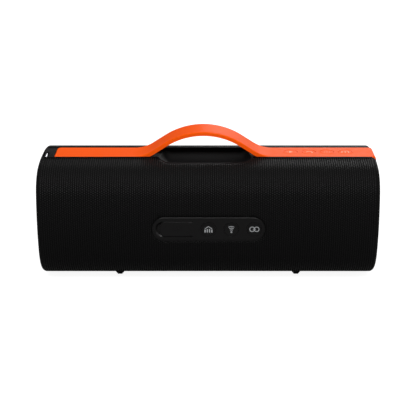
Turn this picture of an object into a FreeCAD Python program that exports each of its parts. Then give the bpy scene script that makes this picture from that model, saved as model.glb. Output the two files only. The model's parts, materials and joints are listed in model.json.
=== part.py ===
"""Portable speaker: a fabric-wrapped rounded box with a strap handle, end radiators and a front key panel.

Frame: origin on the floor under the middle of the body, X along the length (the lanyard pin at -X),
the key panel facing -Y, Z up. All sizes are in millimetres.
"""
import math
import os

import FreeCAD
import Part

# ---------------------------------------------------------------- body
body_length = 300.0          # overall length along X
body_half_width = 53.6       # half of the depth along Y
body_top = 53.95             # widest level up to the top of the crown
body_bottom = 54.9           # widest level down to the underside
top_corner = 27.5            # radius of the two upper long corners
bottom_corner = 34.9         # radius of the two lower long corners
top_crown = 2.3              # how far the top bulges beyond its corners
bottom_crown = 2.2           # how far the underside bulges beyond its corners
upper_side_bulge = 2.4       # how far the sides bulge beyond the upper corners
lower_side_bulge = 1.9       # how far the sides bulge beyond the lower corners
end_round = 4.1              # rounding of the rim at each end
foot_height = 2.1            # the feet lift the underside off the floor

# ---------------------------------------------------------------- skin
fabric_thickness = 0.8
skin_gap = 0.05              # between the fabric and what it is stretched over
grille_thickness = 2.0
fabric_lap = 6.5             # how far the fabric turns in over each end
cap_plate = 5.15             # thickness of the end cap's plate
cap_opening_r = 38.0         # round opening that shows the end radiator
window_bar = 1.6             # bars across the grille windows
window_pitch = 8.0

# ---------------------------------------------------------------- enclosure
enclosure_inset = 9.0        # the sealed box inside the body surface
enclosure_wall = 2.6
enclosure_end_wall = 3.0
gasket_thickness = 0.96
seam_gap = 1.0
boss_r = 4.2
post_r = 3.0

# ---------------------------------------------------------------- strap and its channel
strap_width = 27.9
strap_thickness = 3.5
strap_sink = 0.05            # the flat top of the strap below the crown of the body
strap_end_setback = 13.0     # strap's left end from the left end of the body
strap_edge_round = 0.8
strap_corner_r = 4.0         # rear corner of the strap's left end, seen from above
strap_small_corner_r = 1.0   # front corner of the same end
arch_centre_x = -4.2
arch_half_span = 62.3
arch_crown_r = 63.5
arch_foot_r = 30.0
arch_angle = 33.0            # slope of the flanks, degrees
channel_side_gap = 0.5
channel_wall = 1.0
channel_floor = 2.0
core_width = 18.0
core_thickness = 0.6
core_fit = 0.02

# ---------------------------------------------------------------- finger scoop under the arch
scoop_r = 35.0
scoop_straight = 60.0        # length of the even middle part of the scoop
scoop_end = 20.0             # reach of its rounded ends beyond that
scoop_centre_x = -2.0
scoop_centre_y = -4.0
scoop_depth = 9.5            # below the crown of the body
scoop_wall = 1.4
scoop_clear = 0.5

# ---------------------------------------------------------------- front panel
panel_height = 22.3
panel_centre_x = 0.45
panel_drop = 0.55            # panel's middle below the widest level
panel_sink = 0.1             # panel's face inside the widest line of the fabric
panel_rim = 1.1
panel_rim_round = 0.8
panel_recess = 0.35
panel_flange = 1.5           # the flange behind the grille stands out this far
panel_flange_thickness = 0.7
panel_gap = 0.1
panel_key_r = 6.2
panel_key_count = 3
panel_key_pitch = 20.1
key_end_gap = 3.4            # from the last key to the panel's right end
panel_key_travel = 0.8
panel_key_dish_r = 26.0
moving_gap = 0.35            # all round every piece that moves
cover_height = 13.6
cover_length = 28.2
cover_inset = 7.1            # from the panel's left end to the cover's
cover_key_gap = 8.2          # from the cover's hinge edge to the first key
cover_end_r = 11.0           # bow of the cover's left end
cover_thickness = 1.6
nail_reach = 4.3             # the hollow for a fingertip stands out this far beyond the cover's left end
nail_slope = 2.0             # how far its wall leans in from the face to its floor
socket_offset = 1.9          # socket's middle from the cover's, towards the cover's free end
pocket_width = 14.0
pocket_height = 8.8
pocket_wall = 1.4
socket_width = 8.94
socket_height = 3.26
socket_length = 7.35
socket_shell = 0.3
board_thickness = 1.2
bay_depth = 17.6             # front of the body to the floor of the bay behind the panel
bay_half_height = 12.5
bay_side_gap = 1.5

# ---------------------------------------------------------------- strap keys
strap_key_count = 4
strap_key_travel = 0.5
strap_key_flange = 0.6
strap_key_stem_r = 2.0
strap_key_screw_gap = 12.3   # from the first key to the strap screw beside it
dome_r = 2.5
dome_height = 0.5

# ---------------------------------------------------------------- loudspeakers
woofer_from_end = 50.0       # middle of each woofer from the end of the body
woofer_flange_r = 31.0
woofer_lip = 5.0             # width of the basket's flange
woofer_roll = 5.4            # width of the rubber half-roll
woofer_seat_depth = 12.1     # body surface to the face each woofer is screwed to
woofer_magnet_r = 18.0
tweeter_offset = 38.0        # from each woofer's middle towards the middle of the body
tweeter_rise = 22.0
tweeter_flange_r = 9.5
tweeter_cup_r = 7.8
tweeter_dome_r = 6.0
tweeter_seat_depth = 14.6
radiator_hole_r = 34.0
radiator_outer_r = 40.0
radiator_inner_r = 36.0
radiator_plate_r = 28.0

# ---------------------------------------------------------------- battery and circuit boards
cell_r = 9.2
cell_length = 65.0
cell_spacing = 1.0
tray_wall = 2.0
tray_half_length = 69.0
main_board_half_length = 64.0
board_overhang = 5.6         # edge of the main board beyond the outer side of the cells

# ---------------------------------------------------------------- fasteners and feet
screw_r = 1.5
small_screw_r = 1.25
screw_fit = 0.03
foot_from_end = 69.3         # middle of each foot from the end of the body
foot_root_width = 7.3
foot_tip_width = 3.7
foot_length = 40.0
foot_flange = 2.0
foot_flange_thickness = 1.2
pin_r = 1.3
pin_sink = 0.3               # top of the pin below the top of the strap
pin_from_end = 5.0
anchor_gap = 0.25
anchor_pocket_front = -12.5  # the pocket crossed by the pin, along Y
anchor_pocket_back = -2.0
anchor_pocket_half = 2.4

# ---------------------------------------------------------------- sizes that follow from the ones above
half_length = body_length / 2
mid_z = foot_height + body_bottom
front_y = -body_half_width
grille_inset = fabric_thickness + skin_gap
grille_inner = grille_inset + grille_thickness
cap_outer_x = half_length - fabric_thickness - skin_gap
cap_inner_x = cap_outer_x - cap_plate
enclosure_half_length = cap_inner_x - 4.5
cavity_half_length = enclosure_half_length - enclosure_end_wall
strap_left_end = strap_end_setback - half_length
strap_top = mid_z + body_top - strap_sink
strap_bottom = strap_top - strap_thickness
channel_half = strap_width / 2 + channel_side_gap
floor_top = strap_bottom - skin_gap
floor_bottom = floor_top - channel_floor
scoop_z = mid_z + body_top - scoop_depth + scoop_r
panel_z = mid_z - panel_drop
panel_face_y = front_y + panel_sink
panel_seat_y = panel_face_y + panel_recess
panel_back_y = panel_face_y + 4.3
cover_back_y = panel_seat_y + skin_gap + cover_thickness
cover_seat_y = cover_back_y + moving_gap
keys_length = 2 * panel_key_r + (panel_key_count - 1) * panel_key_pitch
panel_length = cover_inset + cover_length + cover_key_gap + keys_length + key_end_gap
cover_left_x = panel_centre_x - panel_length / 2 + cover_inset
cover_right_x = cover_left_x + cover_length
panel_first_key_x = cover_right_x + cover_key_gap + panel_key_r
bay_floor_y = front_y + bay_depth
control_board_y = bay_floor_y - 3.6
socket_face_y = control_board_y - socket_length
pocket_x = cover_left_x + cover_length / 2 - socket_offset
woofer_inner_r = woofer_flange_r - woofer_lip
woofer_cone_r = woofer_inner_r - woofer_roll
woofer_hole_r = woofer_inner_r + 1.3
woofer_x = half_length - woofer_from_end
tweeter_x = woofer_x - tweeter_offset
foot_x = half_length - foot_from_end
woofer_seat_y = front_y + woofer_seat_depth
tweeter_seat_y = front_y + tweeter_seat_depth
tray_back_y = body_half_width - 18.6
cell_y = tray_back_y - tray_wall - cell_r - 1.3
board_y = cell_y - cell_r - 5.3
main_board_half_height = 2 * cell_r + board_overhang
top_centre = (body_half_width - top_corner - upper_side_bulge, body_top - top_corner - top_crown)
low_centre = (body_half_width - bottom_corner - lower_side_bulge, body_bottom - bottom_corner - bottom_crown)
arch_foot_x = arch_centre_x + arch_half_span
wing_length = half_length - arch_foot_x
strap_key_pitch = 0.1787 * wing_length
strap_key_x0 = arch_foot_x + 0.1775 * wing_length
strap_key_r = 0.378 * strap_key_pitch
strap_key_flange_r = strap_key_r + 0.8
far = 400.0                  # longer than anything, for cutting tools


# ================================================================ helpers
def vec(x, y, z):
    """A point or direction."""
    return FreeCAD.Vector(x, y, z)


def block(x0, x1, y0, y1, z0, z1):
    """A box between two values on each axis."""
    return Part.makeBox(x1 - x0, y1 - y0, z1 - z0, vec(x0, y0, z0))


def rod_x(radius, x0, x1, y, z):
    """A cylinder along X."""
    return Part.makeCylinder(radius, x1 - x0, vec(x0, y, z), vec(1, 0, 0))


def rod_y(radius, x, y0, y1, z):
    """A cylinder along Y."""
    return Part.makeCylinder(radius, y1 - y0, vec(x, y0, z), vec(0, 1, 0))


def rod_z(radius, x, y, z0, z1):
    """A cylinder along Z."""
    return Part.makeCylinder(radius, z1 - z0, vec(x, y, z0), vec(0, 0, 1))


def fuse(shapes):
    """Join overlapping shapes into one solid."""
    joined = shapes[0].multiFuse(shapes[1:]) if len(shapes) > 1 else shapes[0]
    return joined.removeSplitter()


def polygon(points):
    """A closed flat face through the given points."""
    return Part.Face(Part.makePolygon(points + [points[0]]))


def turned_y(profile, x, z):
    """Turn a (radius, y) outline about the line through (x, z) along Y."""
    face = polygon([vec(x + r, y, z) for r, y in profile])
    return face.revolve(vec(x, 0, z), vec(0, 1, 0), 360)


def turned_x(profile):
    """Turn a (radius, x) outline about the body's long axis."""
    face = polygon([vec(x, r, mid_z) for r, x in profile])
    return face.revolve(vec(0, 0, mid_z), vec(1, 0, 0), 360)


def half_roll(inner, outer, level, thickness, out, place):
    """Outline of a rubber half-roll between two radii; place turns (radius, height) into a point."""
    middle = (inner + outer) / 2
    big = (outer - inner) / 2
    small = big - thickness
    over = Part.Arc(place(inner, level), place(middle, level + out * big), place(outer, level)).toShape()
    side = Part.makeLine(place(outer, level), place(outer - thickness, level))
    under = Part.Arc(
        place(outer - thickness, level), place(middle, level + out * small), place(inner + thickness, level)
    ).toShape()
    back = Part.makeLine(place(inner + thickness, level), place(inner, level))
    return Part.Face(Part.Wire([over, side, under, back]))


def blend_radius(across, reach, corner):
    """Radius of the long arc that meets a corner arc smoothly and passes the widest point."""
    return (across**2 + reach**2 - corner**2) / (2 * (reach - corner))


def arc_edge(x, centre, radius, start, stop):
    """One arc of the body's section in the plane at x, between two angles."""
    ends = []
    for angle in (start, (start + stop) / 2, stop):
        y = centre[0] + radius * math.cos(angle)
        z = centre[1] + radius * math.sin(angle)
        ends.append(vec(x, y, mid_z + z))
    return Part.Arc(*ends).toShape()


def section_face(inset, x):
    """The body's rounded section, drawn in by inset all round, in the plane at x."""
    crown = blend_radius(top_centre[0], body_top - top_centre[1], top_corner)
    belly = blend_radius(low_centre[0], body_bottom - low_centre[1], bottom_corner)
    upper = blend_radius(top_centre[1], body_half_width - top_centre[0], top_corner)
    lower = blend_radius(low_centre[1], body_half_width - low_centre[0], bottom_corner)
    crown_at = body_top - crown
    belly_at = belly - body_bottom
    upper_at = body_half_width - upper
    lower_at = body_half_width - lower
    t_crown = math.atan2(top_centre[1] - crown_at, top_centre[0])
    t_upper = math.atan2(top_centre[1], top_centre[0] - upper_at)
    t_lower = math.atan2(low_centre[1], low_centre[0] - lower_at)
    t_belly = math.atan2(low_centre[1] + belly_at, low_centre[0])
    pi = math.pi
    arcs = (
        ((upper_at, 0), upper, 0, t_upper),
        (top_centre, top_corner, t_upper, t_crown),
        ((0, crown_at), crown, t_crown, pi - t_crown),
        ((-top_centre[0], top_centre[1]), top_corner, pi - t_crown, pi - t_upper),
        ((-upper_at, 0), upper, pi - t_upper, pi),
        ((-lower_at, 0), lower, pi, pi + t_lower),
        ((-low_centre[0], -low_centre[1]), bottom_corner, pi + t_lower, pi + t_belly),
        ((0, belly_at), belly, pi + t_belly, 2 * pi - t_belly),
        ((low_centre[0], -low_centre[1]), bottom_corner, 2 * pi - t_belly, 2 * pi - t_lower),
        ((lower_at, 0), lower, 2 * pi - t_lower, 2 * pi),
    )
    edges = [arc_edge(x, centre, radius - inset, start, stop) for centre, radius, start, stop in arcs]
    return Part.Face(Part.Wire(edges))


def prism(inset, x0, x1):
    """The body's section, drawn in by inset, run from x0 to x1."""
    return section_face(inset, x0).extrude(vec(x1 - x0, 0, 0))


def body_solid(inset):
    """The whole body drawn in by inset, its end rims rounded."""
    half = half_length - inset
    raw = prism(inset, -half, half)
    rims = [e for e in raw.Edges if all(abs(abs(v.X) - half) < 1e-6 for v in e.Vertexes)
            and abs(e.CenterOfMass.x) > half - 1e-3]
    return raw.makeFillet(end_round - inset, rims)


def stadium(grow, y0, y1):
    """The front panel's round-ended outline, grown all round, between two depths."""
    half_high = panel_height / 2
    reach = panel_length / 2 - half_high
    r = half_high + grow
    left = rod_y(r, panel_centre_x - reach, y0, y1, panel_z)
    right = rod_y(r, panel_centre_x + reach, y0, y1, panel_z)
    bar = block(panel_centre_x - reach, panel_centre_x + reach, y0, y1, panel_z - r, panel_z + r)
    return fuse([bar, left, right])


def capsule(grow):
    """The trough that fingers reach into, round with elliptical ends, grown all round."""
    r = scoop_r + grow
    reach = scoop_end + grow
    axis = vec(scoop_centre_x, scoop_centre_y, scoop_z)
    shoulders = [axis + vec(side * scoop_straight / 2, 0, 0) for side in (-1, 1)]
    edges = [Part.makeLine(shoulders[0] + vec(0, 0, r), shoulders[1] + vec(0, 0, r))]
    for side, middle in zip((-1, 1), shoulders):
        oval = Part.Ellipse(middle + vec(0, 0, r), middle + vec(side * reach, 0, 0), middle)
        edges.append(Part.ArcOfEllipse(oval, 0, math.pi / 2).toShape())
    edges.append(Part.makeLine(shoulders[0] - vec(reach, 0, 0), shoulders[1] + vec(reach, 0, 0)))
    return Part.Face(Part.Wire(Part.__sortEdges__(edges))).revolve(axis, vec(1, 0, 0), 360)


def tray_envelope(grow):
    """Space taken by the channel moulding and its scoop, grown all round."""
    side = channel_half + channel_wall + grow
    channel = block(-far, far, -side, side, floor_bottom - grow, mid_z + far)
    trough = capsule(scoop_wall + grow).cut(block(-far, far, side, far, 0, far))
    return fuse([channel, trough])


def end_screw_places(side):
    """Where each end cap's four screws stand, as (y, z)."""
    high = (top_centre[0] + 0.3 * top_corner, mid_z + top_centre[1] + 0.3 * top_corner)
    low = (low_centre[0] + 0.42 * bottom_corner, mid_z - low_centre[1] - 0.42 * bottom_corner)
    return [(side_y * y, z) for y, z in (high, low) for side_y in (-1, 1)]


def enclosure_screw_places():
    """Where the screws that close the two halves of the enclosure stand, as (x, z)."""
    high = mid_z + body_top - enclosure_inset - enclosure_wall - 3.4
    low = mid_z - body_bottom + enclosure_inset + enclosure_wall + 3.4
    return [(x, z) for x in (-0.78 * woofer_x, 0.78 * woofer_x) for z in (high, low)]


def woofer_screw_places(side):
    """Four screws on the diagonals of a woofer's flange, as (x, z)."""
    reach = (woofer_flange_r - 2.4) / math.sqrt(2)
    return [(side * woofer_x + u * reach, mid_z + v * reach) for u in (-1, 1) for v in (-1, 1)]


def tray_screw_places():
    """Four screws through the battery tray's ears, as (x, z)."""
    return [(u * (tray_half_length + 4), mid_z + v * 12) for u in (-1, 1) for v in (-1, 1)]


def board_screw_places():
    """Four screws at the corners of the main board, as (x, z)."""
    return [(u * (main_board_half_length - 4), mid_z + v * (main_board_half_height - 3.6))
            for u in (-1, 1) for v in (-1, 1)]


def strap_screw_places():
    """Screws up through the channel floor into the strap, as x."""
    return (strap_left_end + 12, -arch_half_span + arch_centre_x - 9,
            strap_key_x0 - strap_key_screw_gap, half_length - 12)


def strap_key_places():
    """The middles of the keys along the strap's right wing."""
    return [strap_key_x0 + i * strap_key_pitch for i in range(strap_key_count)]


def panel_key_places():
    """The middles of the three round keys on the front panel."""
    return [panel_first_key_x + i * panel_key_pitch for i in range(panel_key_count)]


# ================================================================ skin
def foot_openings(grow):
    """The slots the two feet pass through."""
    half_wide = foot_root_width / 2 + grow
    half_long = foot_length / 2 + grow
    return [block(x - half_wide, x + half_wide, -half_long, half_long, 0, mid_z - 30)
            for x in (-foot_x, foot_x)]


def fabric_sleeve():
    """Knitted sleeve round the body, turned in over both ends, open over the channel, panel and feet."""
    sleeve = body_solid(0).cut(body_solid(fabric_thickness)).cut(prism(fabric_lap, -far, far))
    sleeve = sleeve.cut(tray_envelope(0.1)).cut(stadium(panel_gap, -far, 0))
    return sleeve.cut(Part.makeCompound(foot_openings(0.1)))


def grille_windows():
    """Openings in front of the woofers and tweeters, crossed by level bars."""
    windows = []
    for side in (-1, 1):
        disc = rod_y(woofer_hole_r, side * woofer_x, front_y - 5, front_y + 20, mid_z)
        for step in range(-3, 4):
            z = mid_z + step * window_pitch
            disc = disc.cut(block(-far, far, -far, far, z - window_bar / 2, z + window_bar / 2))
        windows.append(disc)
        windows.append(rod_y(tweeter_cup_r, side * tweeter_x, front_y - 5, front_y + 20,
                             mid_z + tweeter_rise))
    return windows


def grille_shell():
    """Stiff tube under the fabric, with windows in front of the loudspeakers."""
    tube = prism(grille_inset, -cap_inner_x, cap_inner_x).cut(prism(grille_inner, -far, far))
    tube = tube.cut(tray_envelope(0.1)).cut(stadium(panel_gap, -far, 0))
    return tube.cut(Part.makeCompound(foot_openings(0.1) + grille_windows()))


def end_cap(side):
    """Plate that closes one end, with a round opening over the radiator and four screw pillars."""
    x0, x1 = sorted((side * cap_inner_x, side * far))
    plate = body_solid(grille_inset).common(block(x0, x1, -far, far, -far, far))
    y0, y1 = sorted((side * (cap_outer_x - 0.5), side * (half_length - skin_gap)))
    raised = prism(fabric_lap + 0.1, y0, y1)
    p0, p1 = sorted((side * enclosure_half_length, side * (cap_inner_x + 1)))
    pillars = [rod_x(boss_r, p0, p1, y, z) for y, z in end_screw_places(side)]
    cap = fuse([plate, raised] + pillars)
    cap = cap.cut(rod_x(cap_opening_r, -far, far, 0, mid_z)).cut(tray_envelope(0.1))
    for y, z in end_screw_places(side):
        h0, h1 = sorted((side * (cap_outer_x - 2.2), side * far))
        cap = cap.cut(rod_x(screw_r + screw_fit, -far, far, y, z)).cut(rod_x(2.9, h0, h1, y, z))
    return cap


# ================================================================ enclosure
def enclosure_shell():
    """The sealed acoustic box in one piece, before it is split."""
    half = enclosure_half_length
    bay_x0 = panel_centre_x - panel_length / 2 - bay_side_gap
    bay_x1 = panel_centre_x + panel_length / 2 + bay_side_gap
    bay = block(bay_x0, bay_x1, -far, bay_floor_y, panel_z - bay_half_height, panel_z + bay_half_height)
    w = enclosure_wall
    bay_back = block(bay_x0 - w, bay_x1 + w, -far, bay_floor_y + w,
                     panel_z - bay_half_height - w, panel_z + bay_half_height + w)
    outer = prism(enclosure_inset, -half, half)
    cavity = prism(enclosure_inset + w, -cavity_half_length, cavity_half_length)
    cavity = cavity.cut(capsule(scoop_wall + scoop_clear + w)).cut(bay_back)
    shell = outer.cut(cavity)
    additions = []
    for side in (-1, 1):
        additions.append(rod_y(woofer_flange_r + 3, side * woofer_x, woofer_seat_y - 3, woofer_seat_y + 3.5,
                               mid_z))
        additions.append(rod_y(tweeter_flange_r + 2, side * tweeter_x,
                               tweeter_seat_y - 4, tweeter_seat_y + 3,
                               mid_z + tweeter_rise))
    for x, z in enclosure_screw_places():
        additions.append(rod_y(boss_r, x, -14, far, z))
    for x, z in tray_screw_places():
        additions.append(rod_y(boss_r, x, tray_back_y, far, z))
    additions = [a.common(outer) for a in additions]
    for x in (bay_x0 + 6, bay_x1 - 6):
        for z in (panel_z - 6, panel_z + 6):
            additions.append(rod_y(post_r, x, control_board_y + board_thickness, bay_floor_y + 0.5, z))
    shell = fuse([shell.cut(bay).cut(capsule(scoop_wall + scoop_clear))] + additions)
    cuts = [rod_x(radiator_hole_r, -far, far, 0, mid_z)]
    for side in (-1, 1):
        cuts.append(rod_y(woofer_flange_r + 0.6, side * woofer_x, front_y, woofer_seat_y, mid_z))
        cuts.append(rod_y(woofer_hole_r, side * woofer_x, front_y, woofer_seat_y + 4, mid_z))
        for radius, depth in ((tweeter_flange_r + 0.4, 0), (tweeter_cup_r + 0.1, 4)):
            cuts.append(rod_y(radius, side * tweeter_x, front_y, tweeter_seat_y + depth,
                              mid_z + tweeter_rise))
        for x, z in woofer_screw_places(side):
            cuts.append(rod_y(small_screw_r + screw_fit, x, front_y, woofer_seat_y + 4, z))
        for y, z in end_screw_places(side):
            cuts.append(rod_x(screw_r + screw_fit, -far, far, y, z))
    for x, z in enclosure_screw_places():
        cuts.append(rod_y(screw_r + screw_fit, x, -10.5, 10, z))
        cuts.append(rod_y(3.1, x, 8, far, z))
    for x, z in tray_screw_places():
        cuts.append(rod_y(small_screw_r + screw_fit, x, 0, tray_back_y + 5, z))
    return shell.cut(Part.makeCompound(cuts))


def enclosure_parts():
    """The front half, the rear half and the soft seal between them."""
    shell = enclosure_shell()
    front = shell.common(block(-far, far, -far, -seam_gap / 2, -far, far))
    rear = shell.common(block(-far, far, seam_gap / 2, far, -far, far))
    seal = shell.common(block(-far, far, -gasket_thickness / 2, gasket_thickness / 2, -far, far))
    return front, rear, seal


# ================================================================ strap, channel and scoop
def arch_path(depth):
    """Edges of the strap's arch at a depth below its top, from left to right, with their end points."""
    angle = math.radians(arch_angle)
    sin_a = math.sin(angle)
    cos_a = math.cos(angle)
    flank = (arch_half_span - (arch_foot_r + arch_crown_r) * sin_a) / cos_a
    rise = (arch_foot_r + arch_crown_r) * (1 - cos_a) + flank * sin_a
    crown_z = strap_top + rise - arch_crown_r
    foot_r = arch_foot_r + depth
    crown_r = arch_crown_r - depth
    foot_z = strap_top + arch_foot_r
    half_a = angle / 2
    level = strap_top - depth

    def at(x, z):
        return vec(arch_centre_x + x, 0, z)

    left = []
    left.append(at(-arch_half_span, level))
    left.append(at(-arch_half_span + foot_r * math.sin(half_a), foot_z - foot_r * math.cos(half_a)))
    left.append(at(-arch_half_span + foot_r * sin_a, foot_z - foot_r * cos_a))
    left.append(at(-crown_r * sin_a, crown_z + crown_r * cos_a))
    top = at(0, crown_z + crown_r)
    right = [vec(2 * arch_centre_x - p.x, 0, p.z) for p in reversed(left)]
    edges = [
        Part.Arc(left[0], left[1], left[2]).toShape(),
        Part.makeLine(left[2], left[3]),
        Part.Arc(left[3], top, right[0]).toShape(),
        Part.makeLine(right[0], right[1]),
        Part.Arc(right[1], right[2], right[3]).toShape(),
    ]
    return edges, left[0], right[3]


def band(x0, x1, upper, lower, width, end_r):
    """A band of the given width that follows the arch between two depths; its right end may be rounded."""
    over, over_start, over_stop = arch_path(upper)
    under, under_start, under_stop = arch_path(lower)
    top_z = strap_top - upper
    low_z = strap_top - lower
    edges = [Part.makeLine(vec(x0, 0, low_z), vec(x0, 0, top_z))]
    edges.append(Part.makeLine(vec(x0, 0, top_z), over_start))
    edges += over
    edges.append(Part.makeLine(over_stop, vec(x1 - end_r, 0, top_z)))
    if end_r > 0:
        c = end_r * (1 - math.sqrt(0.5))
        corner = Part.Arc(vec(x1 - end_r, 0, top_z), vec(x1 - c, 0, top_z - c), vec(x1, 0, top_z - end_r))
        edges.append(corner.toShape())
    edges.append(Part.makeLine(vec(x1, 0, top_z - end_r), vec(x1, 0, low_z)))
    edges.append(Part.makeLine(vec(x1, 0, low_z), under_stop))
    edges += under
    edges.append(Part.makeLine(under_start, vec(x0, 0, low_z)))
    face = Part.Face(Part.Wire(Part.__sortEdges__(edges)))
    face.translate(vec(0, -width / 2, 0))
    return face.extrude(vec(0, width, 0))


def strap_core_band(grow):
    """Spring-steel band inside the arch of the strap, running out to the left end."""
    middle = strap_thickness / 2
    x0 = strap_left_end + (0.5 if grow == 0 else -1)
    x1 = arch_foot_x + 7 + grow
    return band(x0, x1, middle - core_thickness / 2 - grow, middle + core_thickness / 2 + grow,
                core_width + 2 * grow, 0)


def strap_core():
    """The spring-steel band, with holes for the strap screws."""
    core = strap_core_band(0)
    for x in strap_screw_places():
        core = core.cut(rod_z(screw_r + 0.2, x, 0, floor_bottom, strap_top + 1))
    return core


def strap():
    """Rubbery carrying strap with its arch, the sockets of its keys and the slot for its steel core."""
    right_end = half_length - skin_gap
    whole = band(strap_left_end, right_end, 0, strap_thickness, strap_width, strap_thickness - 0.5)
    for side, radius in ((1, strap_corner_r), (-1, strap_small_corner_r)):
        corner = [e for e in whole.Edges if all(abs(v.X - strap_left_end) < 1e-6 for v in e.Vertexes)
                  and abs(e.CenterOfMass.y - side * strap_width / 2) < 1e-6]
        whole = whole.makeFillet(radius, corner)
    rim = []
    under_z = strap_bottom + 0.01
    for edge in whole.Edges:
        middle = edge.valueAt((edge.FirstParameter + edge.LastParameter) / 2)
        ends = [v.Point for v in edge.Vertexes]
        if any(abs(abs(p.y) - strap_width / 2) > 1e-6 for p in ends + [middle]):
            continue
        probe = vec(middle.x, 0, middle.z)
        if whole.isInside(probe - vec(0, 0, 0.3), 1e-6, False) and min(p.z for p in ends) > under_z - 0.005:
            rim.append(edge)
    whole = whole.makeFillet(strap_edge_round, rim)
    whole = whole.cut(strap_core_band(core_fit))
    for x in strap_key_places():
        whole = whole.cut(rod_z(strap_key_r + moving_gap, x, 0, strap_bottom - 1, strap_top + 1))
        whole = whole.cut(rod_z(strap_key_flange_r + moving_gap, x, 0, strap_bottom - 1,
                                floor_top + 1.2 + strap_key_flange + moving_gap))
    for x in strap_screw_places():
        whole = whole.cut(rod_z(screw_r + screw_fit, x, 0, strap_bottom - 1, strap_bottom + 2.6))
    return whole


def top_tray():
    """Black moulding along the top: the strap's channel, level with its top, and the scoop."""
    lip_x = half_length - end_round
    lip_y = channel_half + channel_wall
    limit = body_solid(0).common(block(-half_length + skin_gap, half_length - skin_gap,
                                       -far, far, -far, far))
    limit = fuse([limit, block(-lip_x, lip_x, -lip_y, lip_y, floor_bottom, strap_top)])
    tray = tray_envelope(0).common(limit)
    channel = block(-far, far, -channel_half, channel_half, floor_top, far)
    trough = capsule(0).cut(block(-far, far, channel_half, far, 0, far))
    tray = tray.cut(channel).cut(trough)
    for x in strap_screw_places():
        tray = tray.cut(rod_z(screw_r + screw_fit, x, 0, floor_bottom - 1, floor_top + 1))
    for x in strap_key_places():
        tray = tray.cut(rod_z(strap_key_stem_r + moving_gap, x, 0, floor_bottom - 1, floor_top + 1))
    return tray


def strap_anchor():
    """Block at the left end of the channel, with a pocket crossed by the lanyard pin."""
    x1 = strap_left_end - anchor_gap
    x0 = -half_length + 1.4
    half = strap_width / 2
    blank = block(x0, x1, -half, half, strap_bottom, strap_top).common(body_solid(strap_sink))
    pin_x = -half_length + pin_from_end
    pocket = block(pin_x - anchor_pocket_half, pin_x + anchor_pocket_half, anchor_pocket_front,
                   anchor_pocket_back, strap_bottom - 1, strap_top + 1)
    pin_hole = rod_y(pin_r + screw_fit, pin_x, -half - 1, anchor_pocket_back + 3,
                     strap_top - pin_sink - pin_r)
    return blank.cut(pocket).cut(pin_hole)


def lanyard_pin():
    """Steel pin across the anchor's pocket."""
    return rod_y(pin_r, -half_length + pin_from_end, -strap_width / 2 + 0.3, anchor_pocket_back + 2.8,
                 strap_top - pin_sink - pin_r)


def strap_key(x):
    """One key flush in the strap: cap, flange and stem."""
    flange_low = floor_top + strap_key_travel + moving_gap
    cap = rod_z(strap_key_r, x, 0, flange_low, strap_top)
    cap = cap.makeFillet(0.4, [e for e in cap.Edges if abs(e.BoundBox.ZMin - strap_top) < 1e-6])
    flange = rod_z(strap_key_flange_r, x, 0, flange_low, flange_low + strap_key_flange)
    stem_low = strap_key_board_top() + dome_height + strap_key_travel + moving_gap
    stem = rod_z(strap_key_stem_r, x, 0, stem_low, flange_low + 0.2)
    return fuse([cap, flange, stem])


def strap_key_board_top():
    """Upper face of the narrow board under the strap keys."""
    return floor_bottom - dome_height - 0.2


def strap_key_board():
    """Narrow circuit board under the strap keys, with one snap dome for each."""
    keys = strap_key_places()
    top = strap_key_board_top()
    plate = block(keys[0] - 7, keys[-1] + 7, -9, 9, top - 1.0, top)
    domes = []
    for x in keys:
        ball_r = (dome_r**2 + dome_height**2) / (2 * dome_height)
        ball = Part.makeSphere(ball_r, vec(x, 0, top + dome_height - ball_r))
        domes.append(ball.common(rod_z(dome_r, x, 0, top - 0.2, top + dome_height + 1)))
    return fuse([plate] + domes)


# ================================================================ front panel
def cover_outline(grow, y0, y1):
    """The port cover's outline: bowed at the left, square at the hinge."""
    half = cover_height / 2 + grow
    bow_x = cover_left_x + cover_end_r
    bow = rod_y(cover_end_r + grow, bow_x, y0, y1, panel_z)
    bar = block(cover_left_x - 2 * grow, cover_right_x + grow, y0, y1, panel_z - half, panel_z + half)
    straight = block(bow_x, cover_right_x + grow, y0, y1, panel_z - half, panel_z + half)
    return fuse([bow, straight]).common(bar)


def control_panel():
    """Soft panel with three key openings, the seat of the port cover and the pocket behind it."""
    body = stadium(0, panel_face_y, panel_back_y)
    front_rim = [e for e in body.Edges if abs(e.BoundBox.YMax - panel_face_y) < 1e-6]
    body = body.makeFillet(panel_rim_round, front_rim)
    flange_front = panel_back_y - panel_flange_thickness
    flange = stadium(panel_flange, flange_front, panel_back_y)
    tub_x = pocket_width / 2 + pocket_wall
    tub_z = pocket_height / 2 + pocket_wall
    tub = block(pocket_x - tub_x, pocket_x + tub_x, cover_seat_y, socket_face_y + 1,
                panel_z - tub_z, panel_z + tub_z)
    panel = fuse([body, flange, tub])
    panel = panel.cut(stadium(-panel_rim, panel_face_y - 1, panel_seat_y))
    panel = panel.cut(cover_outline(moving_gap, panel_face_y - 1, cover_seat_y))
    nail_r = cover_height / 2 + moving_gap
    nail = Part.makeCone(nail_r, nail_r - nail_slope, cover_back_y - panel_seat_y,
                         vec(cover_left_x - nail_reach + nail_r, panel_seat_y, panel_z), vec(0, 1, 0))
    panel = panel.cut(nail)
    panel = panel.cut(block(pocket_x - pocket_width / 2, pocket_x + pocket_width / 2, panel_face_y,
                            socket_face_y, panel_z - pocket_height / 2, panel_z + pocket_height / 2))
    slot_x = socket_width / 2 + 0.1
    slot_z = socket_height / 2 + 0.1
    panel = panel.cut(block(pocket_x - slot_x, pocket_x + slot_x, panel_face_y, far,
                            panel_z - slot_z, panel_z + slot_z))
    for x in panel_key_places():
        panel = panel.cut(rod_y(panel_key_r + moving_gap, x, panel_face_y - 1, panel_back_y + 1, panel_z))
    return panel


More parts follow.
